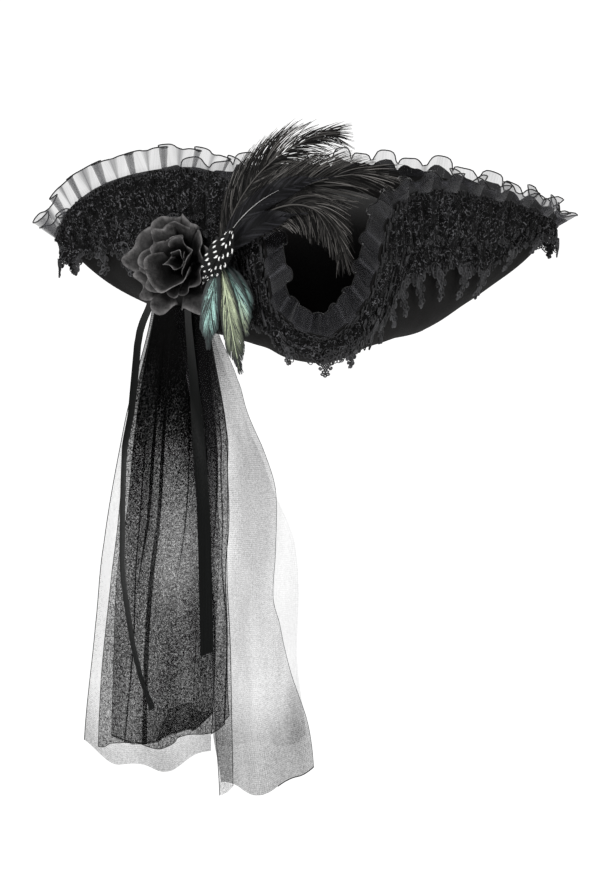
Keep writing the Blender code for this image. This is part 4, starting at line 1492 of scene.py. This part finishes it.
def hang_point(across, height, layer, ripple):
    loose = ease((HANG_TOP - height) / HANG_EASE)
    depth = HANG_DEPTHS[0] + (HANG_DEPTHS[1] - HANG_DEPTHS[0]) * loose
    slope = HANG_SLOPES[0] + (HANG_SLOPES[1] - HANG_SLOPES[0]) * loose
    gap = HANG_LAYERS[0] + (HANG_LAYERS[1] - HANG_LAYERS[0]) * loose
    fold = HANG_FOLD * loose * np.sin(2 * pi * across / HANG_FOLD_WIDTH)
    y = depth + slope * (across - HANG_MIDDLE) + fold + ripple * loose - layer * gap
    return np.stack(np.broadcast_arrays(across, y, height), axis=-1)


def hang_outline(sheet, fall, share):
    rows = np.array(sheet.rows)
    falls = rows[0, 0] - rows[:, 0]
    left = through(falls, rows[:, 1], fall)
    right = through(falls, rows[:, 2], fall)
    corner = sheet.left_rise * (1 - share) ** 3 + sheet.right_rise * share**3
    height = rows[0, 0] - fall + corner * (fall / falls[-1]) ** 2
    return left, right, height


def veil_surface(sheet, folds, overhang, seed, rows=91, columns=181):
    """Points of one layer of net with real doubled folds, the share across it, and its fall from the top."""
    fall_end = sheet.rows[0][0] - sheet.rows[-1][0]
    fall = fall_end * np.linspace(0, 1, rows)[:, None] ** 1.2
    share = np.linspace(0, 1, columns)[None, :]
    fall, share = np.broadcast_arrays(fall, share)
    drift = 0.10 * np.sin(fall * 9 + seed) + 0.06 * np.sin(fall * 23 + 2 * seed)
    uneven = 0.22 * np.sin(2 * pi * (1.3 * share + 0.37 * seed))
    uneven = uneven + 0.12 * np.sin(2 * pi * (2.9 * share + seed))
    phase = 2 * pi * (share * folds + uneven + drift)
    open_out = ease(fall / 0.10)
    doubled = share - overhang * np.sin(2 * phase) / (2 * pi * folds) * open_out
    doubled = np.clip(doubled, 0, 1)
    left, right, height = hang_outline(sheet, fall, doubled)
    across = left + (right - left) * doubled
    waves = HEM_WAVES * (right - left)
    height = height + HEM_WAVE * np.sin(2 * pi * (waves * share + 0.3 * seed)) * (fall / fall_end) ** 3
    ripple = sizes().veil_fold * np.sin(phase)
    return hang_point(across, height, sheet.layer, ripple), share, fall, right - left


def hem_flap(net, reach):
    """More rows under the hem that turn to the front and up again, as far as reach says for each column."""
    hem = net[-1]
    turn = np.linspace(0, pi, 7)[1:, None]
    depth = FLAP_TURN
    curve = hem[None] + np.stack(
        np.broadcast_arrays(0 * turn, -depth * (1 - np.cos(turn)), -depth * np.sin(turn) * 0.5), axis=-1
    )
    climb = np.linspace(0, 1, 9)[1:, None]
    flap = curve[-1][None] + np.stack(
        np.broadcast_arrays(0 * climb * reach, -FLAP_LEAN * climb * reach, climb * reach), axis=-1
    )
    return np.concatenate([net, curve, flap], axis=0)


def build_veil_sheet(
    sheet, piece_name, folds, overhang, seed, material, gather, edges=(), low=None, flap=None
):
    """One layer of net. gather says how dense its top is and how far down that reaches; that top is also
    painted darker, as painted shade among the gathers. low says how much denser and darker it is below a fall,
    and edges which of its sides have a rolled edge and how thick that is."""
    net, share, fall, width = veil_surface(sheet, folds, overhang, seed)
    # Tone: denser and, as painted shade among the gathers, darker at the top; denser and darker below the low
    # fall.
    tone = gather[0] * (1 - ease(fall / gather[1]))
    if low is not None:
        tone = tone + low[0] * ease((fall - low[1]) / LOW_EASE)
    places = np.stack([share * width.max() * 1.6 + seed, fall], axis=-1)
    rows = len(net)
    if flap is not None:
        net = hem_flap(net, flap(share[0]))
        extra = len(net) - rows
        step = np.arange(1, extra + 1)[:, None] * 0.002
        more = np.stack(np.broadcast_arrays(places[-1:, :, 0], places[-1:, :, 1] + step), axis=-1)
        places = np.concatenate([places, more], axis=0)
        tone = np.concatenate([tone, np.zeros((extra, tone.shape[1]))], axis=0)
    stock = Stock()
    stock.sheet(net, places, tone)
    cloth = stock.make(piece_name, material, "black_tulle", sheet.node)
    lines = {"left": net[:rows, 0], "right": net[:rows, -1], "hem": net[rows - 1], "flap": net[-1]}
    lines["corner"] = net[rows - 1, int(0.6 * net.shape[1]):]
    if edges:
        edge = Stock()
        out = np.array([0.0, -1.0, 0.0])
        for side, thick in edges:
            edge.cords(lines[side][None], thick, np.broadcast_to(out, lines[side][None].shape), sides=5)
        edge_material = cord_finish(piece_name + "_edge", NET_EDGE_BLACK, 0.6)
        edge.make(piece_name + "_edge", edge_material, "black_tulle", sheet.node)


def curled_hem(share):
    """The dark fold's hem is turned up towards the right."""
    return 0.0005 + 0.021 * np.sin(pi * np.clip((share - 0.40) / 0.60, 0, 1)) ** 0.8


def build_veil():
    dark_net = tulle_finish("dark_tulle", 0.56, 0.34, 0.03, 0.08)
    pale_net = tulle_finish("pale_tulle", 0.250, 0.12, 0.07, 1.2)
    strip_net = tulle_finish("strip_tulle", 0.37, 0.26, 0.05, 0.12)
    faint_net = tulle_finish("faint_tulle", 0.19, 0.06, 0.06, 2.0)
    build_veil_sheet(
        VEIL_UNDER, "veil_under_net", 2, 0.05, 1.0, pale_net, (0.6, 0.14), (("left", 0.00034),),
        low=(0.26, 0.31),
    )
    build_veil_sheet(
        VEIL_LEFT, "veil_left_net", 2, 0.32, 2.3, dark_net, (0.6, 0.175),
        (("left", 0.00028), ("right", 0.00034), ("hem", 0.00028)), low=(0.10, 0.20),
    )
    build_veil_sheet(
        VEIL_FOLD, "veil_fold_net", 1.5, 0.42, 4.1, dark_net, (0.6, 0.23),
        (("left", 0.00024), ("hem", 0.00030), ("flap", 0.00030)), low=(0.10, 0.20), flap=curled_hem,
    )
    build_veil_sheet(
        VEIL_STRIP, "veil_strip_net", 1, 0.0, 6.2, strip_net, (0.35, 0.07),
        (("left", 0.00030), ("right", 0.00030)),
    )
    build_veil_sheet(
        VEIL_RIGHT, "veil_right_net", 1, 0.1, 3.7, pale_net, (0.44, 0.17),
        (("right", 0.00020), ("corner", 0.00045)), low=(0.36, 0.290),
    )
    build_veil_sheet(VEIL_FAINT, "veil_faint_net", 1, 0.1, 5.1, faint_net, (0.3, 0.05))


def build_tail(sheet, piece_name, material, seed, turned):
    """A satin tail. turned gives how far it is turned edge on at its top and its foot, in degrees."""
    fall_end = sheet.rows[0][0] - sheet.rows[-1][0]
    fall = np.linspace(0, fall_end, 121)[:, None]
    share = np.linspace(0, 1, 9)[None, :]
    fall, share = np.broadcast_arrays(fall, share)
    left, right, height = hang_outline(sheet, fall, share)
    twist = np.radians(turned[0] + (turned[1] - turned[0]) * ease(fall / fall_end * 2.5))
    middle = (left + right) / 2
    half = (right - left) / 2
    side = 2 * share - 1
    across = middle + half * side * np.cos(twist)
    height = height + 0.004 * (share - 0.5) * ease((fall - fall_end + 0.02) / 0.02)
    bow = 0.0006 * np.sin(pi * share) + 0.0012 * np.sin(fall * 30 + seed)
    net = hang_point(across, height, sheet.layer, bow)
    spine = hang_point(middle, height, sheet.layer, bow)
    free = 0.8 * ease((HANG_TOP - height) / HANG_EASE)
    net[..., 1] += free * (spine[..., 1] - net[..., 1])
    net[..., 1] -= half * (side + 1) * np.sin(twist)
    stock = Stock()
    stock.sheet(net, np.stack([share * TAIL_WIDTH, fall], axis=-1), 0.0)
    tail = stock.make(piece_name, material, "black_satin", sheet.node)


def build_tails():
    material = satin_finish()
    build_tail(RIBBON_FRONT, "ribbon_front_satin", material, 0.4, (10, 0))
    build_tail(RIBBON_LEFT, "ribbon_left_satin", material, 2.1, (10, 64))


# Stage


def build_stage():
    scene = bpy.context.scene
    scene.view_settings.view_transform = "Standard"
    floor = bpy.data.meshes.new("floor")
    reach = FLOOR_REACH
    corners = [(-reach, -reach, FLOOR_HEIGHT), (reach, -reach, FLOOR_HEIGHT), (reach, reach, FLOOR_HEIGHT)]
    floor.from_pydata([*corners, (-reach, reach, FLOOR_HEIGHT)], [], [(0, 1, 2, 3)])
    floor.materials.append(stage_finish("pale_floor", 0.92, 0.62))
    ground = bpy.data.objects.new("floor", floor)
    scene.collection.objects.link(ground)
    world = bpy.data.worlds.new("studio")
    world.use_nodes = True
    world.node_tree.nodes["Background"].inputs["Color"].default_value = (1.0, 1.0, 1.0, 1.0)
    world.node_tree.nodes["Background"].inputs["Strength"].default_value = 0.5
    scene.world = world
    centre = Vector(FRAME_CENTRE)
    for name, place, size, power in (
        ("key_light", (-1.5, -2.4, 2.1), 0.9, 95),
        ("fill_light", (2.4, -1.4, 1.2), 1.2, 30),
        ("rim_light", (0.6, 2.4, 1.8), 1.2, 60),
    ):
        lamp = bpy.data.lights.new(name, "AREA")
        lamp.size = size
        lamp.energy = power
        light = bpy.data.objects.new(name, lamp)
        light.location = place
        light.rotation_euler = (centre - Vector(place)).to_track_quat("-Z", "Y").to_euler()
        scene.collection.objects.link(light)
    turn = radians(CAMERA_ELEVATION)
    back = Vector((0.0, -cos(turn), sin(turn)))
    view = bpy.data.cameras.new("view")
    view.sensor_width = 36.0
    view.lens = view.sensor_width * CAMERA_DISTANCE / FRAME_HEIGHT
    view.clip_end = 100.0
    camera = bpy.data.objects.new("view", view)
    camera.location = centre + back * CAMERA_DISTANCE
    camera.rotation_euler = (-back).to_track_quat("-Z", "Y").to_euler()
    scene.collection.objects.link(camera)
    scene.camera = camera


class TRICORN_OT_stage(bpy.types.Operator):
    """Sets the pale floor, the soft lights and the camera"""

    bl_idname = "tricorn.stage"
    bl_label = "Stage"

    def execute(self, context):
        build_stage()
        return {"FINISHED"}


class TRICORN_OT_felt(bpy.types.Operator):
    """Makes the felt crown and the turned-up brim"""

    bl_idname = "tricorn.felt"
    bl_label = "Felt Crown and Brim"

    def execute(self, context):
        material = felt_finish()
        felt_brim().make("felt_brim", material, "black_felt", "brim")
        felt_crown().make("felt_crown", material, "black_felt", "crown")
        return {"FINISHED"}


class TRICORN_OT_ruffle(bpy.types.Operator):
    """Makes the pleated organza ruffle with its dark rolled edge"""

    bl_idname = "tricorn.ruffle"
    bl_label = "Organza Ruffle"

    def execute(self, context):
        build_ruffle()
        return {"FINISHED"}


class TRICORN_OT_lace(bpy.types.Operator):
    """Makes the gathered lace with its corded motifs and its heading"""

    bl_idname = "tricorn.lace"
    bl_label = "Lace Flounce"

    def execute(self, context):
        build_lace_ground()
        build_lace_cords()
        build_lace_heading()
        return {"FINISHED"}


class TRICORN_OT_rose(bpy.types.Operator):
    """Makes the cloth rose, layer by layer"""

    bl_idname = "tricorn.rose"
    bl_label = "Cloth Rose"

    def execute(self, context):
        build_rose()
        return {"FINISHED"}


class TRICORN_OT_feathers(bpy.types.Operator):
    """Makes the feathers of the spray, barb by barb"""

    bl_idname = "tricorn.feathers"
    bl_label = "Feather Spray"

    def execute(self, context):
        build_plumes()
        build_goose()
        build_coque()
        build_guinea()
        return {"FINISHED"}


class TRICORN_OT_veil(bpy.types.Operator):
    """Makes the layers of the net veil and the two satin tails"""

    bl_idname = "tricorn.veil"
    bl_label = "Veil and Tails"

    def execute(self, context):
        build_veil()
        build_tails()
        return {"FINISHED"}


OPERATORS = (
    TRICORN_OT_stage,
    TRICORN_OT_felt,
    TRICORN_OT_ruffle,
    TRICORN_OT_lace,
    TRICORN_OT_rose,
    TRICORN_OT_feathers,
    TRICORN_OT_veil,
)


class TRICORN_PT_panel(bpy.types.Panel):
    """Lists the hat's sizes, colours and pieces"""

    bl_idname = "TRICORN_PT_panel"
    bl_label = "Tricorn Hat"
    bl_space_type = "VIEW_3D"
    bl_region_type = "UI"
    bl_category = "Tricorn Hat"

    def draw(self, context):
        layout = self.layout
        for group in (context.scene.tricorn_sizes, context.scene.tricorn_colours):
            box = layout.box()
            for name in group.bl_rna.properties.keys():
                if name not in ("name", "rna_type"):
                    box.prop(group, name)
        for operator in OPERATORS:
            layout.operator(operator.bl_idname)


CLASSES = (HatSizes, HatColours, *OPERATORS, TRICORN_PT_panel)


def register():
    for kind in CLASSES:
        bpy.utils.register_class(kind)
    bpy.types.Scene.tricorn_sizes = PointerProperty(type=HatSizes)
    bpy.types.Scene.tricorn_colours = PointerProperty(type=HatColours)


def unregister():
    del bpy.types.Scene.tricorn_colours
    del bpy.types.Scene.tricorn_sizes
    for kind in reversed(CLASSES):
        bpy.utils.unregister_class(kind)


def main():
    register()
    bpy.ops.tricorn.stage()
    bpy.ops.tricorn.felt()
    bpy.ops.tricorn.ruffle()
    bpy.ops.tricorn.lace()
    bpy.ops.tricorn.rose()
    bpy.ops.tricorn.feathers()
    bpy.ops.tricorn.veil()
    bpy.context.view_layer.update()


if __name__ == "__main__":
    main()
